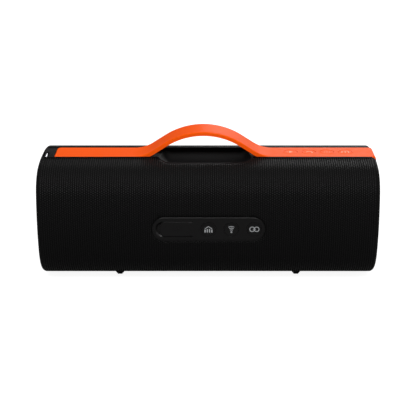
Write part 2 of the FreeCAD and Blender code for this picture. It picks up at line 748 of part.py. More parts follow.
def panel_key(x):
    """One round key with a dished face, a flange that keeps it in and a stem to its switch."""
    face = panel_seat_y - 0.15
    flange_front = panel_back_y + moving_gap
    cap = rod_y(panel_key_r, x, face, flange_front + 0.2, panel_z)
    dish_depth = 0.55
    ball_r = ((panel_key_r - 0.5)**2 + dish_depth**2) / (2 * dish_depth)
    dish = Part.makeSphere(ball_r, vec(x, face + dish_depth - ball_r, panel_z))
    flange = rod_y(panel_key_r + 1, x, flange_front, flange_front + 0.6, panel_z)
    stem = rod_y(2, x, flange_front + 0.5, switch_top_y() - moving_gap - panel_key_travel, panel_z)
    return fuse([cap.cut(dish), flange, stem])


def switch_top_y():
    """Front of the switch plungers behind the round keys."""
    return control_board_y - 6.2


def tact_switches():
    """Three push switches behind the round keys."""
    switches = []
    for x in panel_key_places():
        base = block(x - 3, x + 3, control_board_y - 3.5, control_board_y, panel_z - 3, panel_z + 3)
        plunger = rod_y(1.7, x, switch_top_y(), control_board_y - 3.4, panel_z)
        switches.append(fuse([base, plunger]))
    return Part.makeCompound(switches)


def control_board():
    """Circuit board that carries the panel switches and the charging socket."""
    x0 = panel_centre_x - panel_length / 2 + 2
    x1 = panel_centre_x + panel_length / 2 - 2
    return block(x0, x1, control_board_y, control_board_y + board_thickness, panel_z - 9.5, panel_z + 9.5)


def usb_c_socket():
    """Charging socket: a flat oval metal shell with a tongue."""
    y0 = socket_face_y
    y1 = control_board_y
    r = socket_height / 2
    reach = socket_width / 2 - r

    def oval(inset, start, stop):
        bar = block(pocket_x - reach, pocket_x + reach, start, stop,
                    panel_z - r + inset, panel_z + r - inset)
        ends = [rod_y(r - inset, pocket_x + s * reach, start, stop, panel_z) for s in (-1, 1)]
        return fuse([bar] + ends)

    tongue = block(pocket_x - 3.3, pocket_x + 3.3, y0 + 1, y1 - 0.5, panel_z - 0.35, panel_z + 0.35)
    shell = oval(0, y0, y1).cut(oval(socket_shell, y0 - 1, y1 - 1))
    return fuse([shell, tongue])


def port_cover():
    """Flexible cover over the charging socket; it swings out about its right edge."""
    plate = cover_outline(0, cover_back_y - cover_thickness, cover_back_y)
    edges = [e for e in plate.Edges if abs(e.BoundBox.YMax - (cover_back_y - cover_thickness)) < 1e-6]
    return plate.makeFillet(0.3, edges)


# ================================================================ loudspeakers
def woofer_basket(side):
    """Pressed frame of a woofer, with four windows round its cone."""
    s = woofer_seat_y
    profile = [(woofer_inner_r, s - 2), (woofer_flange_r, s - 2), (woofer_flange_r, s),
               (woofer_inner_r + 1, s), (woofer_magnet_r - 0.5, s + 19), (11, s + 19), (11, s + 17.8),
               (woofer_magnet_r - 1.6, s + 17.8), (woofer_inner_r, s)]
    basket = turned_y(profile, side * woofer_x, mid_z)
    x = side * woofer_x
    basket = basket.cut(block(x - 7, x + 7, s + 4, s + 15, mid_z - 30, mid_z + 30))
    basket = basket.cut(block(x - 30, x + 30, s + 4, s + 15, mid_z - 7, mid_z + 7))
    for sx, sz in woofer_screw_places(side):
        basket = basket.cut(rod_y(small_screw_r + screw_fit, sx, s - 3, s + 1, sz))
    return basket


def woofer_magnet(side):
    """Magnet and pole of a woofer, with the gap its coil moves in."""
    s = woofer_seat_y + 19.05
    profile = [(0, s), (8.6, s), (8.6, s + 9), (9.85, s + 9), (9.85, s), (woofer_magnet_r, s),
               (woofer_magnet_r, s + 11.5), (0, s + 11.5)]
    return turned_y(profile, side * woofer_x, mid_z)


def woofer_cone(side):
    """Cone, dust cap and coil former of a woofer."""
    s = woofer_seat_y
    profile = [(0, s + 2.6), (8.95, s + 5.2), (woofer_cone_r, s - 1.8), (woofer_cone_r, s - 1.1),
               (9.45, s + 6.4),
               (9.45, s + 24), (8.95, s + 24), (8.95, s + 6.2), (0, s + 3.3)]
    return turned_y(profile, side * woofer_x, mid_z)


def woofer_surround(side):
    """Rubber half-roll between a woofer's cone and frame."""
    x = side * woofer_x
    face = half_roll(woofer_cone_r + skin_gap, woofer_inner_r - skin_gap, woofer_seat_y - 1.2, 0.6, -1,
                     lambda r, y: vec(x + r, y, mid_z))
    return face.revolve(vec(x, 0, mid_z), vec(0, 1, 0), 360)


def tweeter_frame(side):
    """Cup and flange of a tweeter."""
    s = tweeter_seat_y
    mouth = tweeter_dome_r + moving_gap
    profile = [(mouth, s - 1.5), (tweeter_flange_r, s - 1.5), (tweeter_flange_r, s), (tweeter_cup_r, s),
               (tweeter_cup_r, s + 9), (0, s + 9), (0, s + 6), (mouth, s + 6)]
    return turned_y(profile, side * tweeter_x, mid_z + tweeter_rise)


def tweeter_dome(side):
    """Small dome and coil of a tweeter."""
    s = tweeter_seat_y
    r = tweeter_dome_r
    profile = [(0, s - 1.6), (r * 0.5, s - 1.1), (r * 0.8, s - 0.2), (r, s + 1), (r, s + 4),
               (r - 0.5, s + 4),
               (r - 0.5, s + 1.2), (r * 0.72, s + 0.2), (r * 0.45, s - 0.6), (0, s - 1.1)]
    return turned_y(profile, side * tweeter_x, mid_z + tweeter_rise)


def radiator_frame(side):
    """Ring that holds an end radiator between the enclosure and the end cap."""
    x0 = side * enclosure_half_length
    x1 = side * cap_inner_x
    profile = [(radiator_inner_r, x0), (radiator_outer_r, x0),
               (radiator_outer_r, x1), (radiator_inner_r, x1)]
    return turned_x(profile)


def radiator_surround(side):
    """Rubber half-roll round an end radiator."""
    level = side * (enclosure_half_length + 1.5)
    face = half_roll(radiator_plate_r + 0.05, radiator_inner_r - 0.05, level, 0.8, side,
                     lambda r, x: vec(x, r, mid_z))
    return face.revolve(vec(0, 0, mid_z), vec(1, 0, 0), 360)


def radiator_diaphragm(side):
    """Weighted plate of an end radiator, with a shallow dished face."""
    e = enclosure_half_length
    outline = [(0, e + 1.2), (10, e + 1.2), (11, e + 0.6), (22, e + 0.6), (24, e + 2.6),
               (radiator_plate_r, e + 2.6), (radiator_plate_r, e + 0.8), (24, e - 0.9), (0, e - 0.9)]
    return turned_x([(r, side * x) for r, x in outline])


# ================================================================ battery and boards
def cell_centres():
    """Middles of the four cells as (x, z)."""
    reach = (cell_length + cell_spacing) / 2
    rise = cell_r + 0.4
    return [(u * reach, mid_z + v * rise) for u in (-1, 1) for v in (-1, 1)]


def battery_cells():
    """Four round cells, two pairs end to end."""
    cells = []
    for x, z in cell_centres():
        can = rod_x(cell_r, x - cell_length / 2 + 1.5, x + cell_length / 2, cell_y, z)
        tip = rod_x(3, x - cell_length / 2 + 0.6, x - cell_length / 2 + 1.6, cell_y, z)
        cells.append(fuse([can, tip]))
    return Part.makeCompound(cells)


def battery_tray():
    """Open box round the cells, with ears for its screws and posts for the main board."""
    rise = 2 * cell_r + 0.8
    y0 = cell_y - cell_r - 0.5
    outer = block(-tray_half_length, tray_half_length, y0, tray_back_y, mid_z - rise - 2, mid_z + rise + 2)
    inner = block(-tray_half_length + 2, tray_half_length - 2, y0 - 1, tray_back_y - tray_wall,
                  mid_z - rise, mid_z + rise)
    ears = block(-tray_half_length - 8.5, tray_half_length + 8.5, tray_back_y - tray_wall, tray_back_y,
                 mid_z - 17, mid_z + 17)
    posts = [rod_y(post_r, x, board_y + board_thickness, y0 + 2, z) for x, z in board_screw_places()]
    posts = [p.cut(inner) for p in posts]
    tray = fuse([outer.cut(inner), ears] + posts)
    for x, z in tray_screw_places():
        tray = tray.cut(rod_y(small_screw_r + screw_fit, x, tray_back_y - 4, tray_back_y + 1, z))
    for x, z in board_screw_places():
        tray = tray.cut(rod_y(small_screw_r + screw_fit, x, board_y, y0 + 1.2, z))
    return tray


def main_board():
    """Main circuit board in front of the battery."""
    board = block(-main_board_half_length, main_board_half_length, board_y, board_y + board_thickness,
                  mid_z - main_board_half_height, mid_z + main_board_half_height)
    for x, z in board_screw_places():
        board = board.cut(rod_y(small_screw_r + screw_fit, x, board_y - 1, board_y + 3, z))
    return board


def board_components():
    """The larger components on the main board: chips, coils, capacitors and connectors."""
    y1 = board_y
    parts = []
    for x, z, w, h, t in ((-30, 4, 14, 14, 1.6), (6, -6, 9, 9, 1.2), (-4, 12, 7, 5, 1.2),
                          (34, -14, 8, 5, 1.0)):
        parts.append(block(x - w / 2, x + w / 2, y1 - t, y1, mid_z + z - h / 2, mid_z + z + h / 2))
    for x in (22, 33, 44, 55):
        parts.append(block(x - 4.5, x + 4.5, y1 - 5, y1, mid_z - 2, mid_z + 7))
    for x in (-52, -42):
        parts.append(rod_y(4, x, y1 - 9, y1, mid_z - 14))
    for x in (-22, -8, 12):
        parts.append(block(x - 4, x + 4, y1 - 5.8, y1, mid_z - 22.5, mid_z - 17.5))
    return Part.makeCompound(parts)


# ================================================================ fasteners, pin and feet
def screw(base, direction, radius, length, head_r, head_height):
    """A pan-head screw: its head ends at base and the shank runs on along direction."""
    shank = Part.makeCylinder(radius, length + 0.2, base - direction * 0.2, direction)
    head = Part.makeCylinder(head_r, head_height, base - direction * head_height, direction)
    slot_base = base - direction * head_height
    recess = Part.makeCylinder(head_r * 0.42, head_height * 0.5, slot_base, direction)
    return fuse([head, shank]).cut(recess)


def enclosure_screws():
    """Screws that close the enclosure."""
    return [screw(vec(x, 8, z), vec(0, -1, 0), screw_r, 18, 2.8, 2.0) for x, z in enclosure_screw_places()]


def end_cap_screws():
    """Four screws in each end cap."""
    found = []
    for side in (-1, 1):
        for y, z in end_screw_places(side):
            found.append(screw(vec(side * (cap_outer_x - 2.2), y, z), vec(-side, 0, 0), screw_r,
                               cap_outer_x - 2.2 - cavity_half_length - 0.3, 2.6, 1.6))
    return found


def woofer_screws():
    """Four screws in each woofer's flange."""
    found = []
    for side in (-1, 1):
        for x, z in woofer_screw_places(side):
            found.append(screw(vec(x, woofer_seat_y - 2, z), vec(0, 1, 0), small_screw_r, 5, 2.2, 1.4))
    return found


def strap_screws():
    """Screws that hold the strap and the channel together."""
    return [screw(vec(x, 0, floor_bottom), vec(0, 0, 1), screw_r,
                  strap_bottom - floor_bottom + 2.4, 2.6, 1.5)
            for x in strap_screw_places()]


def tray_screws():
    """Screws through the ears of the battery tray."""
    return [screw(vec(x, tray_back_y - tray_wall, z), vec(0, 1, 0), small_screw_r, 6.5, 2.3, 1.4)
            for x, z in tray_screw_places()]


def board_screws():
    """Screws that hold the main board to the tray's posts."""
    return [screw(vec(x, board_y, z), vec(0, 1, 0), small_screw_r, 5.4, 2.2, 1.3)
            for x, z in board_screw_places()]


def foot(x):
    """Rubber foot: a tapering rib across the underside with a flange inside the grille."""
    body_z = foot_height
    root_top = mid_z - body_bottom + grille_inner + 2.3
    half = foot_length / 2
    r = foot_root_width / 2
    t = foot_tip_width / 2
    points = [vec(x - t, -half, 0), vec(x + t, -half, 0),
              vec(x + r, -half, body_z), vec(x + r, -half, root_top),
              vec(x - r, -half, root_top), vec(x - r, -half, body_z)]
    rib = polygon(points).extrude(vec(0, foot_length, 0))
    flange = block(x - r - foot_flange, x + r + foot_flange, -half + 1.5, half - 1.5, root_top - 0.1,
                   root_top + foot_flange_thickness)
    return fuse([rib, flange])


# ================================================================ build and write
def all_parts():
    """Every piece by name."""
    front, rear, seal = enclosure_parts()
    pieces = {
        "fabric_sleeve": fabric_sleeve(),
        "grille_shell": grille_shell(),
        "enclosure_front": front,
        "enclosure_rear": rear,
        "enclosure_gasket": seal,
        "top_tray": top_tray(),
        "strap": strap(),
        "strap_core": strap_core(),
        "strap_anchor": strap_anchor(),
        "lanyard_pin": lanyard_pin(),
        "strap_key_board": strap_key_board(),
        "control_panel": control_panel(),
        "port_cover": port_cover(),
        "usb_c_socket": usb_c_socket(),
        "control_board": control_board(),
        "tact_switches": tact_switches(),
        "battery_cells": battery_cells(),
        "battery_tray": battery_tray(),
        "main_board": main_board(),
        "board_components": board_components(),
        "enclosure_screws": Part.makeCompound(enclosure_screws()),
        "end_cap_screws": Part.makeCompound(end_cap_screws()),
        "woofer_screws": Part.makeCompound(woofer_screws()),
        "strap_screws": Part.makeCompound(strap_screws()),
        "tray_screws": Part.makeCompound(tray_screws()),
        "board_screws": Part.makeCompound(board_screws()),
        "foot_left": foot(-foot_x),
        "foot_right": foot(foot_x),
    }
    for name, x in zip(("key_play", "key_voice", "key_light", "key_volume"), strap_key_places()):
        pieces[name] = strap_key(x)
    for name, x in zip(("key_bass", "key_wireless", "key_link"), panel_key_places()):
        pieces[name] = panel_key(x)
    for word, side in (("left", -1), ("right", 1)):
        pieces["end_cap_" + word] = end_cap(side)
        pieces["woofer_basket_" + word] = woofer_basket(side)
        pieces["woofer_magnet_" + word] = woofer_magnet(side)
        pieces["woofer_cone_" + word] = woofer_cone(side)
        pieces["woofer_surround_" + word] = woofer_surround(side)
        pieces["tweeter_frame_" + word] = tweeter_frame(side)
        pieces["tweeter_dome_" + word] = tweeter_dome(side)
        pieces["radiator_frame_" + word] = radiator_frame(side)
        pieces["radiator_surround_" + word] = radiator_surround(side)
        pieces["radiator_diaphragm_" + word] = radiator_diaphragm(side)
    return pieces


os.makedirs("parts", exist_ok=True)
for node, shape in all_parts().items():
    box_now = shape.BoundBox
    print("%-26s solids %d valid %s volume %.1f box %.2f..%.2f %.2f..%.2f %.2f..%.2f" % (
        node, len(shape.Solids), shape.isValid(), shape.Volume, box_now.XMin, box_now.XMax,
        box_now.YMin, box_now.YMax, box_now.ZMin, box_now.ZMax))
    shape.exportStep("parts/" + node + ".step")
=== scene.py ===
"""Looks of a portable speaker: knitted sleeve, orange carrying strap, dished keys and printed marks."""
from __future__ import annotations

import json
import logging
import math
from dataclasses import dataclass, field
from enum import Enum
from typing import Callable, Sequence

import bpy
import numpy as np
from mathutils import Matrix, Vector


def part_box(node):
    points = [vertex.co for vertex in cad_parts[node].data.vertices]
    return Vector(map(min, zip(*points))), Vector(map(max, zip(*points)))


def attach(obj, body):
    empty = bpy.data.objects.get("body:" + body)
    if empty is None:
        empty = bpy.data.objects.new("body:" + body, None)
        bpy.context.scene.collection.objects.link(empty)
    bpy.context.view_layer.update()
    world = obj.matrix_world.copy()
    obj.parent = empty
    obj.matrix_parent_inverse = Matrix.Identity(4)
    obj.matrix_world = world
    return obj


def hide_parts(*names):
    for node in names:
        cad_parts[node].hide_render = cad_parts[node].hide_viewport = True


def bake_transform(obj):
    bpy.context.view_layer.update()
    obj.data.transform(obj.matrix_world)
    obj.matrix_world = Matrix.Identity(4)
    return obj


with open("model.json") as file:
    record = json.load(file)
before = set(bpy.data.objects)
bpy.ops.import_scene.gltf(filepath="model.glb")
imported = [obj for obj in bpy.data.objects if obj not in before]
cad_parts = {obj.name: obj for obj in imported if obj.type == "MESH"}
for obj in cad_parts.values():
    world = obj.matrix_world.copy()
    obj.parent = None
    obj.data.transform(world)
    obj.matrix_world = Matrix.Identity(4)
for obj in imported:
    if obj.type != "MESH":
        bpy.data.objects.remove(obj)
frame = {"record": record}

LOG = logging.getLogger("speaker")
MM = 0.001
BODY_BOTTOM = 54.9 * MM
Colour = tuple[float, float, float]
Socket = bpy.types.NodeSocket
NodeTree = bpy.types.NodeTree
Piece = bpy.types.Object
Lay = Callable[[np.ndarray, np.ndarray], np.ndarray]


# ---- mesh tools
def make_object(name: str, points: np.ndarray, faces: Sequence,
                uv: np.ndarray | None = None) -> Piece:
    """Put computed points and faces into a smooth-shaded object at the origin.

    Args:
        name: the piece's name.
        points: (n, 3) positions in metres.
        faces: vertex numbers of each face, turned outwards.
        uv: (n, 2) surface coordinates of the points, or None.

    Returns:
        The new object.
    """
    mesh = bpy.data.meshes.new(name)
    mesh.from_pydata(points.tolist(), [], [list(map(int, f)) for f in faces])
    mesh.update()
    if uv is not None:
        corner = np.empty(len(mesh.loops), dtype=np.int64)
        mesh.loops.foreach_get("vertex_index", corner)
        layer = mesh.uv_layers.new(name="surface")
        layer.data.foreach_set("uv", uv[corner].astype(np.float32).ravel())
    mesh.polygons.foreach_set("use_smooth", np.ones(len(mesh.polygons), dtype=bool))
    piece = bpy.data.objects.new(name, mesh)
    bpy.context.scene.collection.objects.link(piece)
    return piece


def grid_faces(rows: int, columns: int) -> np.ndarray:
    """Quads of a rows by columns grid of points, numbered row by row.

    Args:
        rows: rows of points.
        columns: points in each row.

    Returns:
        (n, 4) vertex numbers of the quads.
    """
    r, c = np.meshgrid(np.arange(rows - 1), np.arange(columns - 1), indexing="ij")
    first = (r * columns + c).ravel()
    return np.stack([first, first + 1, first + columns + 1, first + columns], axis=1)


@dataclass
class Shapes:
    """Closed thin shapes collected into one mesh, each laid on a surface by a mapping from the plane."""

    lay: Lay
    lift: float = 0.05 * MM
    sink: float = 0.08 * MM
    points: list[np.ndarray] = field(default_factory=list)
    faces: list[list[int]] = field(default_factory=list)
    count: int = 0

    def plate(self, outline: np.ndarray) -> None:
        """Add a closed plate: the outline at lift above and sink below the surface, joined by a wall.

        Args:
            outline: (n, 2) corners, anticlockwise.
        """
        n = len(outline)
        top = self.lay(outline, np.full(n, self.lift))
        low = self.lay(outline, np.full(n, -self.sink))
        base = self.count
        ring = np.arange(n)
        turn = np.roll(ring, -1)
        walls = np.stack([ring + n, turn + n, turn, ring], axis=1) + base
        self.points += [top, low]
        self.faces.append([base + int(i) for i in ring])
        self.faces.append([base + n + int(i) for i in ring[::-1]])
        self.faces += walls.tolist()
        self.count += 2 * n

    def stroke(self, path: np.ndarray, width: float) -> None:
        """Add a line of even width: the path offset to each side along its normal, closed by round ends.

        Args:
            path: (n, 2) points.
            width: width of the line.
        """
        along = np.gradient(path, axis=0)
        along /= np.linalg.norm(along, axis=1, keepdims=True)
        side = np.stack([-along[:, 1], along[:, 0]], axis=1) * width / 2
        sweep = np.linspace(0, math.pi, 7)[1:-1, None]
        tail = path[-1] - side[-1] * np.cos(sweep) + along[-1] * np.sin(sweep) * width / 2
        head = path[0] + side[0] * np.cos(sweep) - along[0] * np.sin(sweep) * width / 2
        self.plate(np.concatenate([path - side, tail, (path + side)[::-1], head]))

    def disc(self, centre: Sequence[float], radius: float) -> None:
        """Add a round dot: centre plus radius times (cosine, sine) of an even sweep."""
        a = np.linspace(0, 2 * math.pi, 25)[:-1]
        self.plate(np.asarray(centre) + radius * np.stack([np.cos(a), np.sin(a)], axis=1))

    def ring(self, centre: Sequence[float], radius: float, width: float) -> None:
        """Add a ring as two half-turn strokes that meet."""
        for start in (0.0, math.pi):
            self.stroke(arc(centre, radius, start, start + math.pi), width)

    def build(self, name: str) -> Piece:
        """Make the collected shapes into one flat-shaded object.

        Args:
            name: the piece's name.

        Returns:
            The new object.
        """
        piece = make_object(name, np.concatenate(self.points), self.faces)
        piece.data.polygons.foreach_set("use_smooth", np.zeros(len(piece.data.polygons), dtype=bool))
        return piece


def arc(centre: Sequence[float], radius: float, start: float, stop: float, count: int = 15) -> np.ndarray:
    """Points of an arc: centre plus radius times (cosine, sine) of an even sweep from start to stop."""
    a = np.linspace(start, stop, count)
    return np.asarray(centre) + radius * np.stack([np.cos(a), np.sin(a)], axis=1)


def line(*corners: Sequence[float]) -> np.ndarray:
    """A straight or bent path through the given corners, with points between them."""
    found = [np.linspace(a, b, 6)[:-1] for a, b in zip(corners, corners[1:])]
    return np.concatenate(found + [np.asarray([corners[-1]], dtype=float)])


# ---- shader groups
@dataclass
class Tree:
    """A small helper that adds and joins shader nodes in one node tree."""

    tree: NodeTree

    def add(self, kind: str, **values: object) -> bpy.types.Node:
        """Add a node; keyword values set its own properties.

        Args:
            kind: the node's type.
            values: its own properties.

        Returns:
            The node.
        """
        node = self.tree.nodes.new(kind)
        for key, value in values.items():
            setattr(node, key, value)
        return node

    def join(self, source: Socket, target: Socket) -> None:
        """Link an output to an input."""
        self.tree.links.new(source, target)

    def math(self, operation: str, a: object, b: object = None, clamp: bool = False) -> Socket:
        """Add a Math node fed by sockets or numbers and return its result.

        Args:
            operation: the Math operation.
            a: first socket or number.
            b: second socket or number, or None.
            clamp: whether to keep the result between 0 and 1.

        Returns:
            The result socket.
        """
        node = self.add("ShaderNodeMath", operation=operation, use_clamp=clamp)
        for socket, value in zip(node.inputs, (a, b)):
            if isinstance(value, Socket):
                self.join(value, socket)
            elif value is not None:
                socket.default_value = float(value)
        return node.outputs[0]

    def mix(self, share: object, a: object, b: object, blend: str = "MIX") -> Socket:
        """Blend two colours by a share and return the result.

        Args:
            share: share of the second colour.
            a: first colour or socket.
            b: second colour or socket.
            blend: the blend type.

        Returns:
            The colour socket.
        """
        node = self.add("ShaderNodeMix", data_type="RGBA", blend_type=blend, clamp_factor=True)
        for socket, value in ((node.inputs[0], share), (node.inputs[6], a), (node.inputs[7], b)):
            if isinstance(value, Socket):
                self.join(value, socket)
            else:
                socket.default_value = value
        return node.outputs[2]

    def noise(self, where: Socket, scale: object, detail: float = 3.0) -> Socket:
        """Add a noise texture and return its value.

        Args:
            where: the coordinates.
            scale: a socket or number.
            detail: octaves of detail.

        Returns:
            The value socket.
        """
        node = self.add("ShaderNodeTexNoise")
        self.join(where, node.inputs["Vector"])
        if isinstance(scale, Socket):
            self.join(scale, node.inputs["Scale"])
        else:
            node.inputs["Scale"].default_value = scale
        node.inputs["Detail"].default_value = detail
        return node.outputs[0]


    def scaled(self, a: Socket, factor: float, plus: float,
               clamp: bool = False) -> Socket:
        """Add a Math node that gives a times factor plus a number.

        Args:
            a: the socket to scale.
            factor: what it is multiplied by.
            plus: what is added.
            clamp: whether to keep the result between 0 and 1.

        Returns:
            The result socket.
        """
        result = self.math("MULTIPLY_ADD", a, factor, clamp)
        result.node.inputs[2].default_value = plus
        return result

    def bump(self, height: Socket, shader: bpy.types.Node,
             strength: float, depth: float) -> None:
        """Add a Bump node between a height and a shader's normal.

        Args:
            height: the height socket.
            shader: the shader to shape.
            strength: share of the effect.
            depth: height of a full step in metres.
        """
        node = self.add("ShaderNodeBump")
        node.inputs["Strength"].default_value = strength
        node.inputs["Distance"].default_value = depth
        self.join(height, node.inputs["Height"])
        self.join(node.outputs[0], shader.inputs["Normal"])


def group_frame(name: str, inputs: Sequence[tuple[str, str, object]],
                outputs: Sequence[tuple[str, str]]) -> tuple[Tree, bpy.types.Node, bpy.types.Node]:
    """Start a shader node group.

    Args:
        name: the group's name.
        inputs: (name, socket type, default) of each input.
        outputs: (name, socket type) of each output.

    Returns:
        The group's tree, its input node and its output node.
    """
    tree = bpy.data.node_groups.new(name, "ShaderNodeTree")
    for label, kind, default in inputs:
        socket = tree.interface.new_socket(name=label, in_out="INPUT", socket_type=kind)
        if default is not None:
            socket.default_value = default
    for label, kind in outputs:
        tree.interface.new_socket(name=label, in_out="OUTPUT", socket_type=kind)
    return Tree(tree), tree.nodes.new("NodeGroupInput"), tree.nodes.new("NodeGroupOutput")


FLOAT = "NodeSocketFloat"
VECTOR = "NodeSocketVector"


def grain_group() -> NodeTree:
    """Moulded grain: two noises, a fine one for height and a broad one for tone.

    Returns:
        The group's tree.
    """
    t, given, out = group_frame(
        "moulded_grain",
        [("Where", VECTOR, None), ("Grain per metre", FLOAT, 2500.0), ("Patch per metre", FLOAT, 30.0)],
        [("Height", FLOAT), ("Tone", FLOAT)])
    fine = t.noise(given.outputs[0], given.outputs[1], 2.0)
    broad = t.noise(given.outputs[0], given.outputs[2], 4.0)
    t.join(fine, out.inputs[0])
    t.join(broad, out.inputs[1])
    return t.tree


def dust_group() -> NodeTree:
    """Handling marks: faint smears and sparse specks that lift roughness and tone.

    Returns:
        The group's tree.
    """
    t, given, out = group_frame(
        "handling_dust", [("Where", VECTOR, None), ("Amount", FLOAT, 0.3)], [("Mask", FLOAT)])
    smear = t.math("MULTIPLY", t.noise(given.outputs[0], 55.0, 5.0), 0.5)
    speck = t.noise(given.outputs[0], 1900.0, 1.0)
    sharp = t.math("MULTIPLY", t.math("SUBTRACT", speck, 0.68, clamp=True), 6.0, clamp=True)
    both = t.math("ADD", smear, sharp, clamp=True)
    t.join(t.math("MULTIPLY", both, given.outputs[1], clamp=True), out.inputs[0])
    return t.tree


def brushed_group() -> NodeTree:
    """Brushed or turned metal: noise stretched along X.

    Returns:
        The group's tree.
    """
    t, given, out = group_frame(
        "brushed_lines", [("Where", VECTOR, None), ("Lines per metre", FLOAT, 4000.0)], [("Height", FLOAT)])
    stretch = t.add("ShaderNodeVectorMath", operation="MULTIPLY")
    t.join(given.outputs[0], stretch.inputs[0])
    stretch.inputs[1].default_value = (0.03, 1.0, 1.0)
    t.join(t.noise(stretch.outputs[0], given.outputs[1], 2.0), out.inputs[0])
    return t.tree


def knit_group() -> NodeTree:
    """Warp knit: upright wales, rounded across, in stitches that step by half from wale to wale.

    Height is (1 minus the squared distance from the wale's middle) times (a floor plus a cosine
    along the wale). Yarn is a steep power of the first factor times a gentler cosine: a share that
    follows the height, so it paints shade into the gaps between wales and the dips between stitches.

    Returns:
        The group's tree.
    """
    t, given, out = group_frame(
        "warp_knit",
        [("Surface", VECTOR, None), ("Wale pitch", FLOAT, 1.9 * MM), ("Stitch pitch", FLOAT, 2.1 * MM)],
        [("Height", FLOAT), ("Yarn", FLOAT), ("Roughness", FLOAT), ("Uneven", FLOAT)])
    split = t.add("ShaderNodeSeparateXYZ")
    t.join(given.outputs[0], split.inputs[0])
    across = t.math("DIVIDE", split.outputs[0], given.outputs[1])
    wale = t.math("FLOOR", across)
    off = t.math("SUBTRACT", t.math("FRACT", across), 0.5)
    ridge = t.math("SUBTRACT", 1.0, t.math("MULTIPLY", t.math("MULTIPLY", off, off), 4.0))
    step = t.math("MULTIPLY", t.math("MODULO", wale, 2.0), 0.5)
    along = t.math("ADD", t.math("DIVIDE", split.outputs[1], given.outputs[2]), step)
    swing = t.math("COSINE", t.math("MULTIPLY", along, 2 * math.pi))
    stitch = t.math("ADD", t.math("MULTIPLY", swing, 0.34), 0.66)
    height = t.math("MULTIPLY", ridge, stitch)
    # yarn share follows the height: painted shade in the gaps between wales and in the stitch dips
    wide = t.math("POWER", t.math("MAXIMUM", ridge, 0.0), 3.2)
    yarn = t.math("MULTIPLY", wide, t.math("ADD", t.math("MULTIPLY", swing, 0.25), 0.75))
    t.join(height, out.inputs[0])
    t.join(yarn, out.inputs[1])
    t.join(t.math("SUBTRACT", 0.9, t.math("MULTIPLY", yarn, 0.58)), out.inputs[2])
    t.join(t.noise(given.outputs[0], 240.0, 3.0), out.inputs[3])
    return t.tree


def tracks_group() -> NodeTree:
    """Circuit tracks: a stepped cell pattern whose borders read as copper lines under the lacquer.

    Returns:
        The group's tree.
    """
    t, given, out = group_frame(
        "circuit_tracks", [("Where", VECTOR, None), ("Cells per metre", FLOAT, 420.0)], [("Track", FLOAT)])
    cell = t.add("ShaderNodeTexVoronoi", feature="DISTANCE_TO_EDGE", distance="EUCLIDEAN")
    t.join(given.outputs[0], cell.inputs["Vector"])
    t.join(given.outputs[1], cell.inputs["Scale"])
    t.join(t.math("LESS_THAN", cell.outputs["Distance"], 0.06), out.inputs[0])
    return t.tree


class Effect(Enum):
    """Surface effects kept as shared node groups."""

    GRAIN = "moulded_grain"
    DUST = "handling_dust"
    BRUSHED = "brushed_lines"
    KNIT = "warp_knit"
    TRACKS = "circuit_tracks"


MAKERS: dict[Effect, Callable[[], NodeTree]] = {
    Effect.GRAIN: grain_group,
    Effect.DUST: dust_group,
    Effect.BRUSHED: brushed_group,
    Effect.KNIT: knit_group,
    Effect.TRACKS: tracks_group,
}


def effect(t: Tree, which: Effect, where: Socket, **values: float) -> bpy.types.Node:
    """Place a shared group in a material.

    Args:
        t: the material's tree.
        which: the effect.
        where: the coordinates it reads.
        values: numbers for its other inputs, with underscores for spaces.

    Returns:
        The group node.
    """
    tree = bpy.data.node_groups.get(which.value) or MAKERS[which]()
    node = t.add("ShaderNodeGroup", node_tree=tree)
    t.join(where, node.inputs[0])
    for key, value in values.items():
        node.inputs[key.replace("_", " ")].default_value = value
    return node


# ---- finishes
def new_material(name: str) -> tuple[bpy.types.Material, Tree, bpy.types.Node]:
    """Start a material with a plain shader.

    Args:
        name: the material's name.

    Returns:
        The material, its tree and its shader.
    """
    material = bpy.data.materials.new(name)
    material.use_nodes = True
    return material, Tree(material.node_tree), material.node_tree.nodes["Principled BSDF"]


@dataclass(frozen=True)
class Moulded:
    """Moulded plastic or rubber: a tone that drifts, a fine grain and a little handling dust."""

    name: str
    colour: Colour
    light: Colour
    roughness: float = 0.5
    specular: float = 0.5
    grain: float = 2500.0
    depth: float = 0.02
    dust: float = 0.15
    coat: float = 0.0

    def material(self) -> bpy.types.Material:
        """Build the finish.

        Returns:
            The material.
        """
        material, t, shader = new_material(self.name)
        where = t.add("ShaderNodeTexCoord").outputs["Object"]
        grain = effect(t, Effect.GRAIN, where, Grain_per_metre=self.grain)
        dust = effect(t, Effect.DUST, where, Amount=self.dust)
        tone = t.scaled(grain.outputs[1], 1.6, -0.3, clamp=True)
        colour = t.mix(tone, (*self.colour, 1), (*self.light, 1))
        dusty = t.mix(dust.outputs[0], colour, tuple(min(1.0, c * 1.2 + 0.012) for c in self.light) + (1,))
        t.join(dusty, shader.inputs["Base Color"])
        t.join(t.scaled(dust.outputs[0], 0.25, self.roughness, clamp=True), shader.inputs["Roughness"])
        t.bump(grain.outputs[0], shader, 0.6, self.depth * MM)
        shader.inputs["Specular IOR Level"].default_value = self.specular
        shader.inputs["Coat Weight"].default_value = self.coat
        return material


